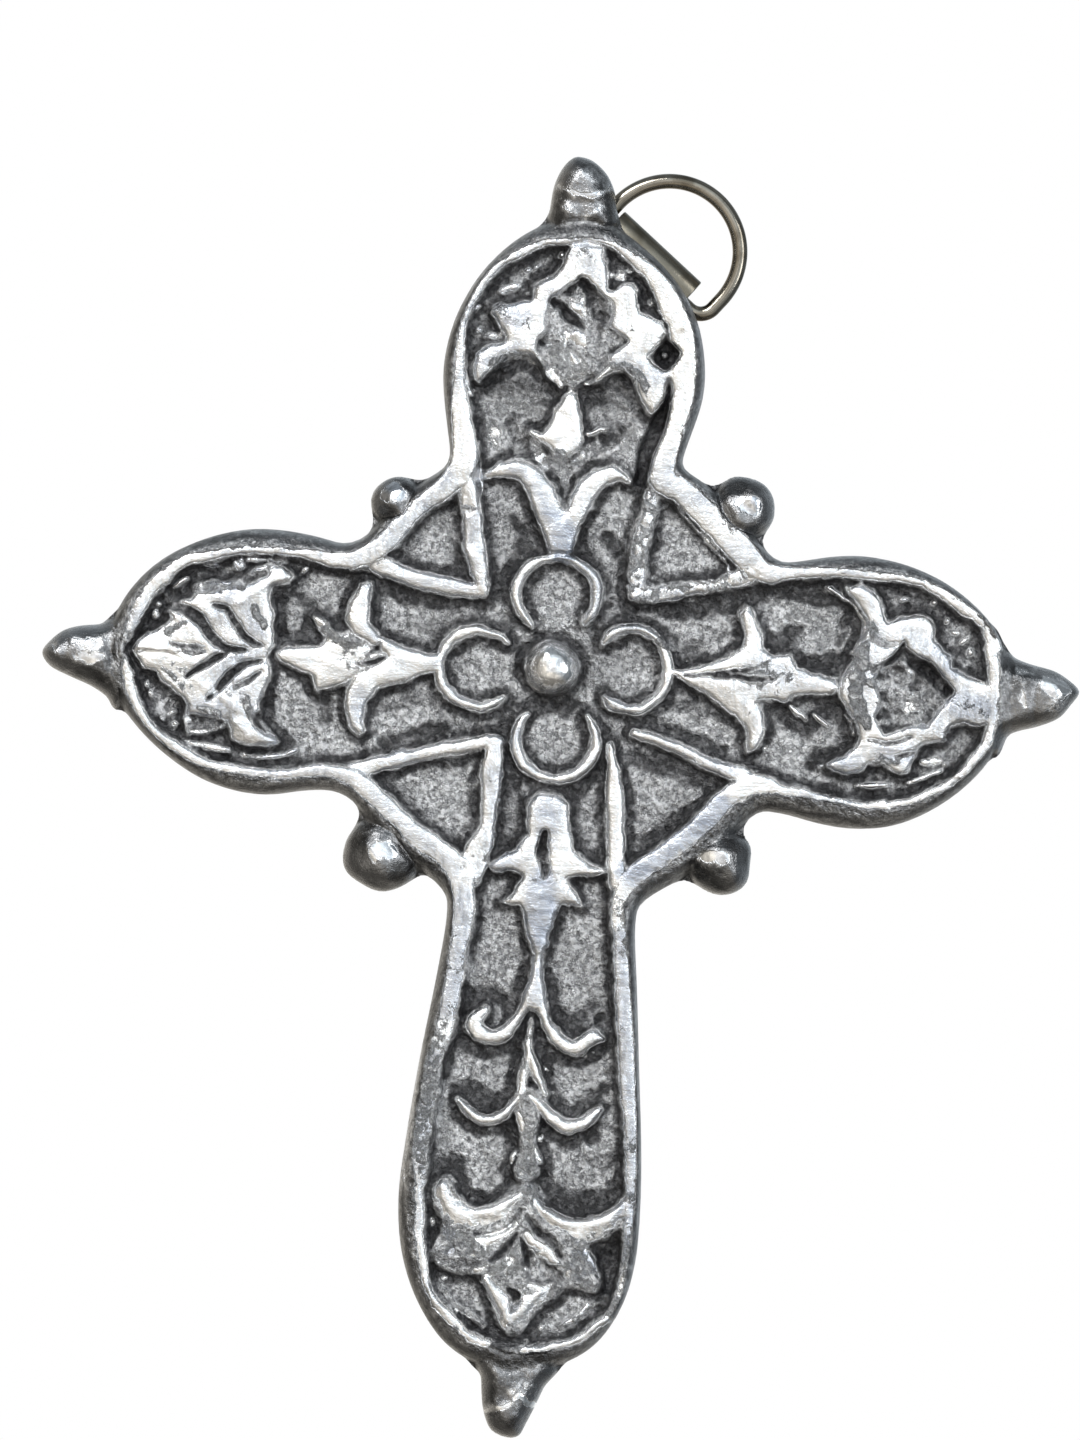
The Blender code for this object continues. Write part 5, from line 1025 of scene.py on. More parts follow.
    def tones(self):
        """Single places of wear and soot, and of painted highlight and painted shade."""
        ragged = 0.22 * noise(0.9, 95) + 0.16 * noise(0.45, 96)
        self.set = np.zeros(GRID_X.shape)
        for tone, lift, rows in TONES:
            win, inside = stroke(smooth_line(rows, 0.5), 1.2)
            share = smooth(inside + ragged[win], -0.3, 0.3)
            self.height[win] += lift * share
            self.polish_and_highlight[win] = blend(self.polish_and_highlight[win], tone, share)
            self.grime_and_shade[win] = blend(self.grime_and_shade[win], max(0.0, 1.0 - 2.5 * tone), share)
            self.set[win] = np.maximum(self.set[win], share)

    def sheen(self):
        """Large soft changes between warm white and blue grey over the uncoated metal: random tone
        from noise, and painted shade along the listed strokes.
        """
        self.cool = np.clip(0.32 + 0.3 * noise(7.0, 54) + 0.2 * noise(3.0, 55), 0, 1)
        for amount, rows in SHEENS:
            win, inside = stroke(smooth_line(rows, 0.8), 1.6)
            self.cool[win] = blend(self.cool[win], amount, smooth(inside, -1.3, 0.3))

    def lumps(self):
        """Knobs and finials, joined to the body by small fillets."""
        rough = blur(0.75 * facets(2.2, 31) + 0.35 * facets(1.0, 32), 0.5)
        ragged = 0.4 * noise(1.2, 80) + 0.25 * noise(0.6, 81) + 0.5 * rough
        wobble = 0.4 * noise(3.0, 40)
        for x, z, radius, top, (highlight_x, highlight_z, wide, high) in KNOBS:
            away = np.hypot(GRID_X - x, GRID_Z - z) + wobble
            share = np.clip(1 - (away / radius) ** 2, 0, 1)
            dome = EDGE + (top - EDGE) * share ** 0.45 + rough * smooth(share, 0.0, 0.5)
            # each knob gets a painted highlight: its listed patch, and a glint over the top of its
            # dome
            patch = np.hypot((GRID_X - highlight_x) / wide, (GRID_Z - highlight_z) / high) + ragged
            glint = 0.45 * smooth(ragged + share, 1.0, 1.3)
            self.join(radius - away, dome,
                      0.12 + np.maximum(0.85 * smooth(patch, 1.15, 0.75), glint),
                      fillet=KNOB_FILLET)
        for outline in FINIALS:
            inside = region(smooth_line(outline, 0.5, closed=True), 5.0, WHOLE)[1]
            share = np.clip(1 - (1 - np.clip(inside, 0, FINIAL_ROUND) / FINIAL_ROUND) ** 2, 0, 1)
            dome = EDGE + FINIAL_RISE * share ** 0.5 + 0.45 * rough * smooth(share, 0.0, 0.5)
            self.join(inside, dome, 0.12 + 0.25 * smooth(ragged, 0.1, 0.5),
                      smooth(self.body, 1.8, 0.2))

    def join(self, inside, dome, bright, reach=1.0, fillet=1.6):
        """Adds a lump where it stands out of the body."""
        free = ((inside > self.body + 0.3) & (inside > 0)) | (self.body < 0)
        soft = smooth(inside - self.body, -0.2, 0.8) * smooth(inside, -3.0, -1.5) * reach
        self.height = np.where(free, blend(self.height, dome, soft), self.height)
        self.polish_and_highlight = np.where(free, blend(self.polish_and_highlight, bright, soft), self.polish_and_highlight)
        self.slick = np.where(free, np.maximum(self.slick, soft), self.slick)
        self.hull = rounded_max(self.hull, inside, fillet)

    def skin(self):
        """Casting texture. It returns the wavering places that it read, and the walls there."""
        x = GRID_X + 0.2 * noise(2.6, 1) + 0.12 * noise(0.9, 2)
        z = GRID_Z + 0.2 * noise(2.6, 3) + 0.12 * noise(0.9, 4)
        calm = smooth(self.hull, 0.6, 1.6)
        self.height = blend(self.height, sample(self.height, x, z), calm)
        self.polish_and_highlight = blend(self.polish_and_highlight, sample(self.polish_and_highlight, x, z), calm)
        self.height = blur(self.height, 0.1)
        low = smooth(self.polish_and_highlight, 0.75, 0.35)
        away = -sample(self.near, x, z) + 0.35 * noise(1.3, 64) + 0.2 * noise(3.1, 65)
        wall = smooth(away, 0.0, 0.36) * smooth(away, 1.8, 0.5)
        pits = noise(0.55, 61) + 0.6 * noise(0.3, 62)
        broken = facets(1.1, 68)
        self.height += calm * (1 - self.slick) * (
            0.12 * low * pits + 0.03 * (1 - low) * noise(0.8, 63) + 0.35 * wall * broken)
        self.polish_and_highlight += calm * (1 - self.slick) * 0.5 * wall * smooth(broken, 0.2, 0.6)
        return x, z, wall

    def antique(self, x, z, wall):
        """Soot in the corners, painted shade where it was laid, and uncoated metal on what stands
        proud.
        """
        grime_and_shade, kept = sample(self.grime_and_shade, x, z), sample(self.set, x, z)
        wide = blur(self.height, 1.5) - self.height
        foot = smooth(blur(self.height, 0.55) - self.height, 0.0, 0.4)
        hollow = smooth(wide, 0.0, 0.8)
        mottle = 0.62 + 0.38 * smooth(noise(2.2, 69) + 0.6 * facets(1.4, 70), -0.5, 0.3)
        # the laid darkness added here brings in painted shade besides the antiquing
        self.soot_and_shade = 0.78 * wall + 0.25 * foot + 0.3 * hollow + 0.9 * grime_and_shade
        away = np.hypot(GRID_X - RING_CENTRE[0], GRID_Z - RING_CENTRE[1])
        self.soot_and_shade = np.clip(self.soot_and_shade + 0.12 * smooth(away, 25.0, 17.0), 0, 1) * mottle
        lump = smooth(self.slick, 0.5, 1.0)
        coat = blend(0.28 + 0.5 * self.streak, 0.72, lump)
        self.soot_and_shade = np.where(self.outer | (self.hull < 1.0), np.maximum(coat, grime_and_shade), self.soot_and_shade)
        self.soot_and_shade = blend(self.soot_and_shade, np.maximum(0.6, grime_and_shade), lump)
        proud = smooth(-wide, -0.1, 0.45)
        cloud = smooth(noise(3.1, 97) + 0.6 * noise(1.2, 98), 0.0, 0.8)
        change = blend(0.8 + 0.32 * proud - 0.18 * cloud, 1.0, kept)
        self.polish_and_highlight = np.clip(self.polish_and_highlight * change, 0, 1)
        self.soot_and_shade *= 1 - 0.9 * smooth(self.polish_and_highlight, 0.35, 0.75)
        self.soot_and_shade *= 1 - 0.9 * kept * (1 - grime_and_shade)


# ---------------------------------------------------------------- meshes


def linked(name, data):
    """A new object of this data in the scene."""
    obj = bpy.data.objects.new(name, data)
    bpy.context.scene.collection.objects.link(obj)
    return obj


def applied(obj):
    """A new mesh with the object's modifiers applied."""
    graph = bpy.context.evaluated_depsgraph_get()
    return bpy.data.meshes.new_from_object(obj.evaluated_get(graph))


def relief_front(relief):
    """Grid mesh over the hull, its edge moved on to the outline, thinned to the face budget."""
    hull = relief.hull
    full = hull > 0
    cells = full[:-1, :-1] | full[1:, :-1] | full[:-1, 1:] | full[1:, 1:]
    used = np.zeros(hull.shape, bool)
    for di in (0, 1):
        for dj in (0, 1):
            used[di:di + cells.shape[0], dj:dj + cells.shape[1]] |= cells
    index = np.full(hull.shape, -1)
    index[used] = np.arange(used.sum())
    gx, gz = np.gradient(hull, STEP)
    size = np.maximum(np.hypot(gx, gz), 1e-6)
    out = used & ~full
    x = np.where(out, GRID_X - gx / size * hull, GRID_X)[used]
    z = np.where(out, GRID_Z - gz / size * hull, GRID_Z)[used]
    y = -np.where(out, EDGE, np.maximum(relief.height, EDGE))[used]
    i, j = np.nonzero(cells)
    quads = np.stack([index[i, j], index[i + 1, j], index[i + 1, j + 1], index[i, j + 1]], axis=1)
    mesh = bpy.data.meshes.new("relief_front")
    mesh.from_pydata(np.column_stack([x, y, z]), [], quads.tolist())
    obj = linked("relief_front", mesh)
    thin = obj.modifiers.new("thin", "DECIMATE")
    thin.ratio = min(1.0, RELIEF_FACES / (2 * len(quads)))
    thin.use_collapse_triangulate = True
    done = applied(obj)
    bpy.data.objects.remove(obj)
    points = np.empty(len(done.vertices) * 3, np.float32)
    done.vertices.foreach_get("co", points)
    faces = [tuple(p.vertices) for p in done.polygons]
    bpy.data.meshes.remove(done)
    return points.reshape(-1, 3).astype(float), faces


def boundary(faces):
    """The longest loop of edges that only one face uses, in order, as that face runs along it."""
    ahead = {}
    edges = {(f[k], f[(k + 1) % len(f)]) for f in faces for k in range(len(f))}
    for a, b in edges:
        if (b, a) not in edges:
            ahead.setdefault(a, []).append(b)
    loops = []
    for start in ahead:
        while ahead[start]:
            loop, here = [start], ahead[start].pop()
            while here != start:
                loop.append(here)
                here = ahead[here].pop()
            loops.append(loop)
    return max(loops, key=len)


def casting_mesh(relief):
    """The whole casting as one closed mesh.

    Its polished and sooted shares, painted highlights and painted shade included, and its slickness
    and coolness are stored on the points.
    """
    points, faces = relief_front(relief)
    loop = boundary(faces)
    rim = points[loop]
    every = round(BACK_PITCH / STEP)
    keep = np.zeros(relief.hull.shape, bool)
    keep[::every, ::every] = True
    keep &= relief.hull > BACK_MARGIN
    bx, bz = GRID_X[keep], GRID_Z[keep]
    back = np.column_stack([np.concatenate([rim[:, 0], bx]), np.concatenate([rim[:, 2], bz])])
    n = len(loop)
    flat, _, tris, origin, _, _ = delaunay_2d_cdt(
        [Vector(p) for p in back], [(k, (k + 1) % n) for k in range(n)], [], 1, 1e-5)
    flat = np.array([tuple(v) for v in flat])
    depth = sample(relief.back, flat[:, 0], flat[:, 1])
    start = len(points)
    place = {}
    for k, sources in enumerate(origin):
        for source in sources:
            if source < n:
                place[source] = start + k
    all_points = np.vstack([points, np.column_stack([flat[:, 0], depth, flat[:, 1]])])
    faces = [tuple(f) for f in faces]
    for k in range(n):
        a, b = loop[k], loop[(k + 1) % n]
        c, d = place[k], place[(k + 1) % n]
        if c != d:
            faces.append((b, a, c, d))
    faces += [tuple(start + v for v in tri) for tri in tris]
    mesh = bpy.data.meshes.new("cross_relief")
    mesh.from_pydata(all_points * MM, [], faces)
    bm = bmesh.new()
    bm.from_mesh(mesh)
    bmesh.ops.recalc_face_normals(bm, faces=bm.faces[:])
    bm.to_mesh(mesh)
    bm.free()
    mesh.polygons.foreach_set("use_smooth", np.ones(len(mesh.polygons), bool))
    clouds = 0.22 * sample(noise(8.0, 52) + 0.6 * noise(2.4, 53), flat[:, 0], flat[:, 1])
    for name, field, behind in (("polish_and_highlight", relief.polish_and_highlight, 0.4), ("soot_and_shade", relief.soot_and_shade, 0.3),
                                ("slick", relief.slick, 0.0), ("cool", relief.cool, 0.0)):
        values = sample(field, all_points[:, 0], all_points[:, 2])
        values[start:] = behind + clouds * (behind > 0)
        mesh.attributes.new(name, "FLOAT", "POINT").data.foreach_set(
            "value", values.astype(np.float32))
    mesh.update()
    return mesh


# ---------------------------------------------------------------- materials


def node(tree, kind, inputs=None, **settings):
    """A new node with its inputs linked or set, and its settings."""
    made = tree.nodes.new(kind)
    for key, value in settings.items():
        setattr(made, key, value)
    for key, value in (inputs or {}).items():
        if isinstance(value, bpy.types.NodeSocket):
            tree.links.new(value, made.inputs[key])
        else:
            made.inputs[key].default_value = value
    return made


def mix(tree, share, a, b):
    """One colour at share 0, the other at share 1."""
    return node(tree, "ShaderNodeMix", {0: share, 6: a, 7: b}, data_type="RGBA").outputs[2]


def math_node(tree, kind, a, b=0.0, c=0.0):
    return node(tree, "ShaderNodeMath", {0: a, 1: b, 2: c}, operation=kind).outputs[0]


def vary(tree, value, cloud, amount):
    """The value moved up and down by a cloud from 0 to 1."""
    return math_node(tree, "MULTIPLY_ADD", math_node(tree, "SUBTRACT", cloud, 0.5), amount, value)


def ramp(tree, value, low, high, start=0.0, end=1.0):
    """Goes softly from start to end as the value goes from low to high."""
    return node(tree, "ShaderNodeMapRange", {0: value, 1: low, 2: high, 3: start, 4: end},
                interpolation_type="SMOOTHSTEP").outputs[0]


def texture(tree, where, scale, detail, roughness, stretch=(1, 1, 1)):
    """Cloudy noise from 0 to 1."""
    mapped = node(tree, "ShaderNodeMapping", {"Vector": where, "Scale": stretch}).outputs[0]
    return node(tree, "ShaderNodeTexNoise", {"Vector": mapped, "Scale": scale, "Detail": detail,
                                             "Roughness": roughness}).outputs["Fac"]


def metal(name):
    """A new metal: its material, node tree, shader and object coordinates."""
    mat = bpy.data.materials.new(name)
    mat.use_nodes = True
    tree = mat.node_tree
    shader = tree.nodes["Principled BSDF"]
    shader.inputs["Metallic"].default_value = 1.0
    return mat, tree, shader, node(tree, "ShaderNodeTexCoord").outputs["Object"]


def dress(tree, shader, colour, rough, grain, depth, strength):
    """Gives the shader its colour, its roughness and a bump of this depth in metres."""
    bump = node(tree, "ShaderNodeBump", {"Height": grain, "Distance": depth, "Strength": strength})
    tree.links.new(colour, shader.inputs["Base Color"])
    tree.links.new(rough, shader.inputs["Roughness"])
    tree.links.new(bump.outputs[0], shader.inputs["Normal"])


def casting_material():
    """Uncoated metal where polished, with painted highlights, a speckled grey ground, and
    near-black antiquing with painted shade.
    """
    mat, tree, shader, where = metal("antiqued_casting")
    polish_and_highlight, soot_and_shade, slick, cool = (
        node(tree, "ShaderNodeAttribute", attribute_name=name).outputs["Fac"]
        for name in ("polish_and_highlight", "soot_and_shade", "slick", "cool"))
    grit = texture(tree, where, 5200.0, 2.0, 0.6)
    fine = texture(tree, where, 2300.0, 3.0, 0.65)
    coarse = texture(tree, where, 700.0, 5.0, 0.7)
    patch = texture(tree, where, 170.0, 3.0, 0.5)
    middle = texture(tree, where, 1250.0, 3.0, 0.6)
    across = texture(tree, where, 800.0, 5.0, 0.65, (0.35, 1, 1.7))
    down = texture(tree, where, 700.0, 5.0, 0.65, (1.7, 1, 0.5))
    brushed = node(tree, "ShaderNodeMix", {0: ramp(tree, texture(tree, where, 60.0, 2.0, 0.5),
                                                   0.44, 0.56), 2: across, 3: down}).outputs[0]
    bare_and_highlight = vary(tree, vary(tree, polish_and_highlight, coarse, 0.9), fine, 0.5)
    bare_and_highlight = ramp(tree, bare_and_highlight, 0.44, 0.74)
    grey = mix(tree, ramp(tree, middle, 0.42, 0.58), (0.42, 0.425, 0.435, 1), (0.98, 0.985, 1.0, 1))
    grey = mix(tree, ramp(tree, fine, 0.50, 0.60, 0.0, 0.55), grey, (0.99, 0.99, 1.0, 1))
    crease = math_node(tree, "ABSOLUTE", math_node(tree, "SUBTRACT", coarse, 0.46))
    grey = mix(tree, ramp(tree, crease, 0.035, 0.0, 0.0, 0.85), grey, (0.08, 0.08, 0.085, 1))
    grey = mix(tree, ramp(tree, patch, 0.46, 0.62, 0.0, 0.3), grey, (0.18, 0.18, 0.185, 1))
    # the blue grey that cool lays over the uncoated metal is random tone in part and painted shade
    # along the listed strokes
    cold = mix(tree, ramp(tree, brushed, 0.3, 0.66), (0.32, 0.345, 0.40, 1), (0.60, 0.63, 0.69, 1))
    warm = mix(tree, ramp(tree, brushed, 0.3, 0.6), (0.82, 0.825, 0.83, 1), (0.98, 0.98, 0.98, 1))
    bright = mix(tree, ramp(tree, vary(tree, cool, coarse, 0.5), 0.1, 1.0), warm, cold)
    dark = vary(tree, vary(tree, soot_and_shade, coarse, 0.5), fine, 0.2)
    dark = ramp(tree, dark, 0.0, 0.72)
    dark_tone = mix(tree, ramp(tree, middle, 0.44, 0.62),
                (0.08, 0.08, 0.083, 1), (0.18, 0.18, 0.185, 1))
    plain = mix(tree, ramp(tree, patch, 0.4, 0.6),
                (0.09, 0.09, 0.092, 1), (0.25, 0.25, 0.255, 1))
    colour = mix(tree, dark, mix(tree, bare_and_highlight, grey, bright), mix(tree, slick, dark_tone, plain))
    rough = math_node(tree, "MULTIPLY_ADD", bare_and_highlight, -0.16, 0.33)
    rough = math_node(tree, "MULTIPLY_ADD", fine, 0.12, rough)
    rough = math_node(tree, "MULTIPLY_ADD", slick, -0.12, rough)
    grain = math_node(tree, "MULTIPLY_ADD", grit, 0.4, fine)
    grain = math_node(tree, "MULTIPLY", grain, math_node(tree, "MULTIPLY_ADD", bare_and_highlight, -0.75, 1.0))
    grain = math_node(tree, "MULTIPLY_ADD", brushed, 0.25, grain)
    grain = math_node(tree, "MULTIPLY_ADD", math_node(tree, "MULTIPLY", middle, math_node(
        tree, "MULTIPLY_ADD", bare_and_highlight, -0.85, 1.0)), 1.4, grain)
    grain = math_node(tree, "MULTIPLY", grain, math_node(tree, "MULTIPLY_ADD", slick, -0.8, 1.0))
    dress(tree, shader, colour, rough, grain, 0.00045, 0.9)
    return mat


def nickel_material(name, colour, dull, roughness):
    """Thin nickel plate: faint tarnish clouds and fine drawn scratches."""
    mat, tree, shader, where = metal(name)
    cloud = texture(tree, where, 260.0, 5.0, 0.6)
    fine = texture(tree, where, 2200.0, 3.0, 0.6)
    tint = mix(tree, ramp(tree, cloud, 0.4, 0.68), colour, dull)
    rough = math_node(tree, "MULTIPLY_ADD", cloud, 0.18, roughness)
    dress(tree, shader, tint, rough, fine, 0.00003, 0.5)
    return mat


def piece(name, mesh, mat, body, cad):
    """One visual piece that rides a body and takes the place of a CAD node."""
    obj = linked(name, mesh)
    obj.data.materials.clear()
    obj.data.materials.append(mat)
    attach(obj, body)
    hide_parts(cad)


# ---------------------------------------------------------------- hanger

RIVET = (0.6, 43.1)  # x and z of its axis
SWING = math.radians(39.9)  # turn of the strap about the rivet at rest
SHEET = 0.8
CLEAR = 0.3  # gap between parts that move
STRAP_WIDTH = 13.5
STRAP_REACH = 16.85  # from the rivet to the outside of the fold
STRAP_TAIL = 5.2  # from the rivet to the other end
STRAP_CORNER = 4.5
POCKET = 2.7  # inside width of the fold that holds the ring
FOLD_FLAT = 3.2  # the back leaf runs on this far from the fold
FOLD_SLOPE = 3.4  # and closes in on the front leaf over this length
WIRE = 1.93
RING_WIDTH = 18.2  # to the middle of the wire, as the ring's other sizes
RING_CORNER = 2.2
LEG = 1.5  # straight stretch between a corner and the bow
BAR_INSET = 3.6  # from the outside of the fold to the ring's bar
RING_SLIDE = 1.0  # the ring sits this far to one side in its fold
RIVET_SHANK = 2.2
RIVET_HEAD = 5.6
RIVET_DEPTH = 2.3
SHARP = math.radians(40.0)  # edges that turn more than this aren't shaded smooth
BAR_Y = CLEAR + SHEET + POCKET / 2
HANGER = Matrix.Translation((RIVET[0], 0.0, RIVET[1])) @ Matrix.Rotation(SWING, 4, "Y")


def placed(points, matrix):
    """Points in millimetres moved by the matrix, in metres."""
    return [tuple((matrix @ Vector(p)) * MM) for p in points]


def mesh_of(name, verts, faces):
    """A smooth shaded mesh whose sharp edges stay sharp."""
    mesh = bpy.data.meshes.new(name)
    mesh.from_pydata(verts, [], faces)
    bm = bmesh.new()
    bm.from_mesh(mesh)
    bmesh.ops.remove_doubles(bm, verts=bm.verts[:], dist=1e-8)
    bmesh.ops.recalc_face_normals(bm, faces=bm.faces[:])
    for face in bm.faces:
        face.smooth = True
    for edge in bm.edges:
        if len(edge.link_faces) == 2 and edge.calc_face_angle() > SHARP:
            edge.smooth = False
    bm.to_mesh(mesh)
    bm.free()
    return mesh


def tube_faces(rows, around, closed=False):
    """Quads between one round of points and the next."""
    return [(i * around + k, i * around + (k + 1) % around,
             (i + 1) % rows * around + (k + 1) % around, (i + 1) % rows * around + k)
            for i in range(rows if closed else rows - 1) for k in range(around)]


def ring_mesh():
    """Round wire along a D: the straight bar at z = 0, short legs and a half round bow."""
    half, corner = RING_WIDTH / 2, RING_CORNER
    arcs = (((half - corner, corner), corner, 270.0, 360.0, 24),
            ((0.0, corner + LEG), half, 0.0, 180.0, 110),
            ((corner - half, corner), corner, 180.0, 270.0, 24))
    line = []
    for centre, radius, start, end, count in arcs:
        turns = np.radians(np.linspace(start, end, count))
        line.append(np.column_stack([centre[0] + radius * np.cos(turns),
                                     centre[1] + radius * np.sin(turns)]))
    bar = np.linspace(corner - half, half - corner, 22)[1:-1]
    line.append(np.column_stack([bar, np.zeros(len(bar))]))
    line = np.vstack(line)
    along = np.roll(line, -1, axis=0) - np.roll(line, 1, axis=0)
    along /= np.linalg.norm(along, axis=1)[:, None]
    turns = np.linspace(0, 2 * math.pi, 32, endpoint=False)
    verts = []
    for (x, z), (ax, az) in zip(line, along):
        for t in turns:
            push = WIRE / 2 * math.cos(t)
            verts.append((x + az * push, WIRE / 2 * math.sin(t), z - ax * push))
    faces = tube_faces(len(line), len(turns), closed=True)
    hinge = HANGER @ Matrix.Translation((RING_SLIDE, BAR_Y, STRAP_REACH - BAR_INSET))
    return mesh_of("hanging_d_ring", placed(verts, hinge), faces)


def strap_mesh():
    """The folded sheet with broken edges, cut to a rounded tail and drilled for the rivet."""
    half_sheet = SHEET / 2
    front = CLEAR + half_sheet
    back = front + SHEET + CLEAR
    bend = POCKET / 2 + half_sheet
    crown = STRAP_REACH - half_sheet - bend
    path = [(-STRAP_TAIL - 1.0, front)]
    path += [(v, front) for v in np.linspace(-STRAP_TAIL, crown, 24)]
    path += [(crown + bend * math.cos(t), BAR_Y + bend * math.sin(t))
             for t in np.radians(np.linspace(-84.0, 84.0, 29))]
    path += [(crown - v, BAR_Y + bend) for v in np.linspace(0.0, FOLD_FLAT, 6)]
    for t in np.linspace(0.0, 1.0, 16)[1:-1]:
        ease = t * t * (3 - 2 * t)
        path.append((crown - FOLD_FLAT - FOLD_SLOPE * t,
                     BAR_Y + bend + (back - BAR_Y - bend) * ease))
    path += [(v, back) for v in np.linspace(crown - FOLD_FLAT - FOLD_SLOPE, -STRAP_TAIL, 20)]
    path += [(-STRAP_TAIL - 1.0, back)]
    line = np.array(path)
    along = np.gradient(line, axis=0)
    along /= np.linalg.norm(along, axis=1)[:, None]
    side = np.stack([-along[:, 1], along[:, 0]], axis=1) * half_sheet
    section = np.vstack([line + side, (line - side)[::-1]])
    half = STRAP_WIDTH / 2
    # each row across the sheet, and how far its broken edge draws in there
    rows = [(-half, 0.16), (-half + 0.05, 0.05), (-half + 0.16, 0.0),
            (half - 0.16, 0.0), (half - 0.05, 0.05), (half, 0.16)]
    centre = np.vstack([line, line[::-1]])
    verts = []
    for u, pinch in rows:
        for (v, y), (cv, cy) in zip(section, centre):
            shrink = pinch / half_sheet
            verts.append((u, y + (cy - y) * shrink, v + (cv - v) * shrink))
    m = len(section)
    faces = tube_faces(len(rows), m)
    for r in (0, len(rows) - 1):
        faces += [(r * m + k, r * m + k + 1, r * m + m - 2 - k, r * m + m - 1 - k)
                  for k in range(len(line) - 1)]
    strap = linked("strap_blank", mesh_of("strap_blank", [
        (x * MM, y * MM, z * MM) for x, y, z in verts], faces))
    corner = STRAP_CORNER
    plan = [(half + 1.0, STRAP_REACH + 2.0), (-half - 1.0, STRAP_REACH + 2.0),
            (-half - 1.0, corner - STRAP_TAIL)]
    for sign in (-1.0, 1.0):
        arc = [(sign * (half - corner - corner * math.cos(t)),
                corner - STRAP_TAIL + corner * math.sin(t))
               for t in np.radians(np.linspace(180.0, 270.0, 24))]
        plan += arc if sign < 0 else arc[::-1]
    plan += [(half + 1.0, corner - STRAP_TAIL)]
    trim(strap, plan, "INTERSECT")
    hole = [((RIVET_SHANK / 2 + CLEAR) * math.cos(t), (RIVET_SHANK / 2 + CLEAR) * math.sin(t))
            for t in np.linspace(0, 2 * math.pi, 48, endpoint=False)]
    trim(strap, hole, "DIFFERENCE")
    mesh = strap.data
    bpy.data.objects.remove(strap)
    mesh.transform(Matrix.Scale(1 / MM, 4))
    mesh.transform(HANGER)
    mesh.transform(Matrix.Scale(MM, 4))
    mesh.name = "folded_strap"
    return mesh


def trim(obj, plan, operation):
    """Applies a Boolean with a prism along Y over a plan in millimetres."""
    n = len(plan)
    verts = [(u * MM, y * MM, v * MM) for y in (-1.0, 8.0) for u, v in plan]
    faces = [tuple(range(n)), tuple(range(n, 2 * n))]
    faces += [(k, (k + 1) % n, n + (k + 1) % n, n + k) for k in range(n)]
    cutter = linked("cutter", mesh_of("cutter", verts, faces))
    modifier = obj.modifiers.new("trim", "BOOLEAN")
    modifier.operation, modifier.solver, modifier.object = operation, "EXACT", cutter
    mesh = applied(obj)
    obj.modifiers.clear()
    obj.data = mesh
    bpy.data.objects.remove(cutter)


def rivet_mesh():
    """A shank through the strap and a domed head, turned about its axis."""
    seat = 3 * CLEAR + 2 * SHEET
    shank, head = RIVET_SHANK / 2, RIVET_HEAD / 2
    profile = [(-RIVET_DEPTH, 0.0), (-RIVET_DEPTH, shank), (seat, shank), (seat, head - 0.1),
               (seat + 0.1, head), (seat + 0.35, head)]
    profile += [(seat + 0.35 + 1.15 * math.sin(t), head * math.cos(t))
                for t in np.radians(np.linspace(6.0, 84.0, 14))]
    profile += [(seat + 1.5, 0.0)]
    turns = np.linspace(0, 2 * math.pi, 64, endpoint=False)
    verts = [(r * math.cos(t), y, r * math.sin(t)) for y, r in profile for t in turns]
    return mesh_of("domed_rivet", placed(verts, Matrix.Translation((RIVET[0], 0, RIVET[1]))),
                   tube_faces(len(profile), len(turns)))


# ---------------------------------------------------------------- stage, light and camera

# places and lengths from here on are in metres
ROLL = math.radians(3.04)
VIEW_HEIGHT = 0.18547
VIEW_CENTRE = (-0.00124, -0.00574)
CAMERA_AWAY = 1.5
SENSOR = 36.0
FLOOR_RADIUS = 1.2
FLOOR_LEVEL = -0.32
FLOOR_SIDES = 96


def stage():
    """A round pale floor well below the object."""
    mesh = bpy.data.meshes.new("floor")
    turns = np.linspace(0, 2 * math.pi, FLOOR_SIDES, endpoint=False)
    mesh.from_pydata([(FLOOR_RADIUS * math.cos(t), FLOOR_RADIUS * math.sin(t), FLOOR_LEVEL)
                      for t in turns], [], [tuple(range(FLOOR_SIDES))])
    floor = linked("floor", mesh)
    mat = bpy.data.materials.new("pale_floor")
    mat.use_nodes = True
    inputs = mat.node_tree.nodes["Principled BSDF"].inputs
    inputs["Base Color"].default_value = (0.9, 0.9, 0.9, 1)
    inputs["Roughness"].default_value = 0.8
    mesh.materials.append(mat)
    floor.visible_glossy = False


def area_light(name, place, size, power):
    """A rectangular light aimed at the origin."""
    light = bpy.data.lights.new(name, "AREA")
    light.shape, light.size, light.size_y, light.energy = "RECTANGLE", size[0], size[1], power
    obj = linked(name, light)
    obj.location = place
    obj.rotation_mode = "QUATERNION"
    obj.rotation_quaternion = (-Vector(place)).to_track_quat("-Z", "Y")


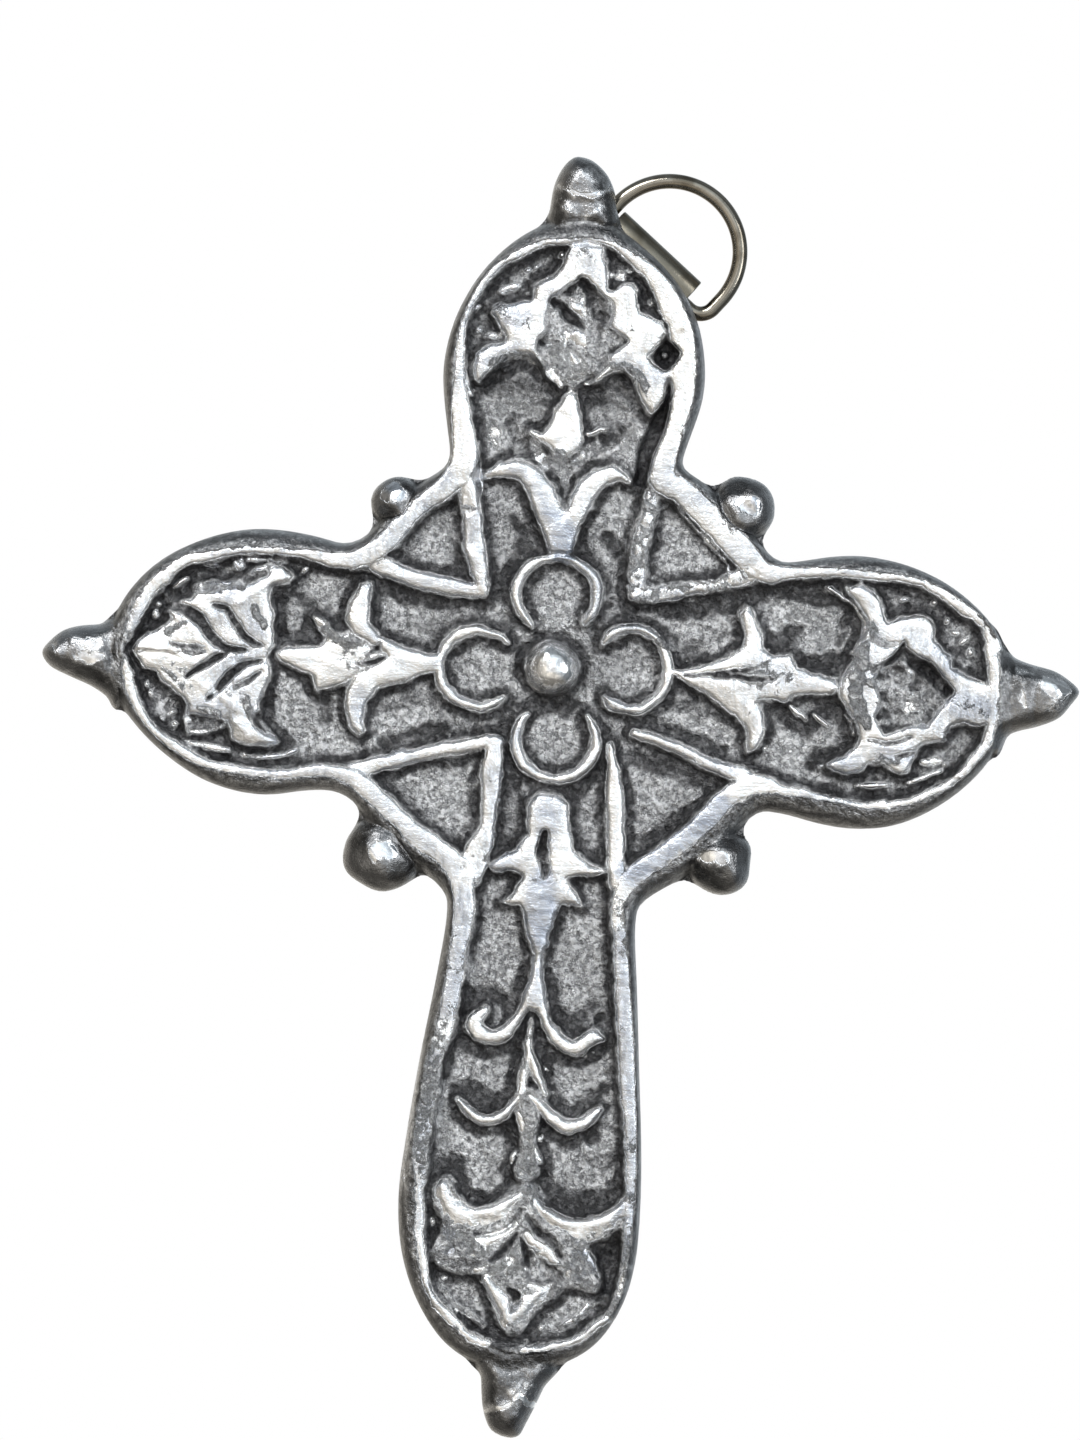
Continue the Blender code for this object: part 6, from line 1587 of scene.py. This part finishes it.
def world():
    """White behind the object, and a soft room for the metal to mirror.

    The room is bright in front, a little brighter above than below, and faint behind.
    """
    made = bpy.data.worlds.new("studio")
    bpy.context.scene.world = made
    made.use_nodes = True
    tree = made.node_tree
    tree.nodes.clear()
    direction = node(tree, "ShaderNodeTexCoord").outputs["Generated"]
    parts = node(tree, "ShaderNodeSeparateXYZ", {0: direction}).outputs
    front = ramp(tree, parts[1], -0.38, -0.94, 0.27, 1.15)
    uneven = node(tree, "ShaderNodeTexNoise", {"Vector": direction, "Scale": 3.2, "Detail": 1.0})
    front = math_node(tree, "MULTIPLY", front,
                      ramp(tree, uneven.outputs["Fac"], 0.38, 0.6, 0.6, 1.15))
    above = ramp(tree, parts[2], -0.6, 0.7, 0.78, 1.22)
    behind = math_node(tree, "ADD", ramp(tree, parts[1], 0.3, 0.9, 0.0, 0.3),
                       ramp(tree, parts[1], 0.88, 1.0, 0.0, 0.6))
    room = math_node(tree, "MULTIPLY_ADD", front, above, behind)
    path = node(tree, "ShaderNodeLightPath").outputs
    seen = math_node(tree, "MAXIMUM", path["Is Camera Ray"], path["Is Diffuse Ray"])
    strength = node(tree, "ShaderNodeMix", {0: seen, 2: room, 3: 1.0}).outputs[0]
    side = ramp(tree, math_node(tree, "ADD", parts[0], parts[2]), -0.5, 0.5)
    hue = mix(tree, side, (1.0, 0.94, 0.84, 1), (0.84, 0.93, 1.0, 1))
    hue = mix(tree, ramp(tree, parts[1], -0.99, -0.9, 0.0, 1.0), (1, 1, 1, 1), hue)
    hue = mix(tree, seen, hue, (1, 1, 1, 1))
    glow = node(tree, "ShaderNodeBackground", {"Color": hue, "Strength": strength})
    out = node(tree, "ShaderNodeOutputWorld", {"Surface": glow.outputs[0]})
    out.is_active_output = True


def camera():
    """Looks straight at the front, rolled a little, with a white that stays white."""
    data = bpy.data.cameras.new("camera")
    data.sensor_width = SENSOR
    data.lens = SENSOR * CAMERA_AWAY / VIEW_HEIGHT
    data.clip_start, data.clip_end = 0.05, 20.0
    obj = linked("camera", data)
    obj.location = (VIEW_CENTRE[0], -CAMERA_AWAY, VIEW_CENTRE[1])
    turn = Euler((math.pi / 2, 0, 0)).to_matrix() @ Matrix.Rotation(ROLL, 3, "Z")
    obj.rotation_euler = turn.to_euler()
    bpy.context.scene.camera = obj
    bpy.context.scene.view_settings.view_transform = "Standard"


piece("cross_relief", casting_mesh(Relief()), casting_material(), "cross", "cross_casting")
piece("folded_strap", strap_mesh(),
      nickel_material("nickel_strap", (0.24, 0.22, 0.178, 1), (0.15, 0.132, 0.10, 1), 0.2),
      "strap", "hanger_strap")
piece("hanging_d_ring", ring_mesh(),
      nickel_material("nickel_ring", (0.31, 0.285, 0.24, 1), (0.15, 0.13, 0.10, 1), 0.06),
      "ring", "d_ring")
piece("domed_rivet", rivet_mesh(),
      nickel_material("nickel_rivet", (0.60, 0.56, 0.48, 1), (0.42, 0.38, 0.31, 1), 0.16),
      "cross", "hanger_rivet")
stage()
world()
area_light("key", (-0.35, -0.75, 0.65), (0.5, 0.35), 5.0)
area_light("fill", (0.7, -0.6, 0.1), (0.3, 0.6), 2.0)
camera()
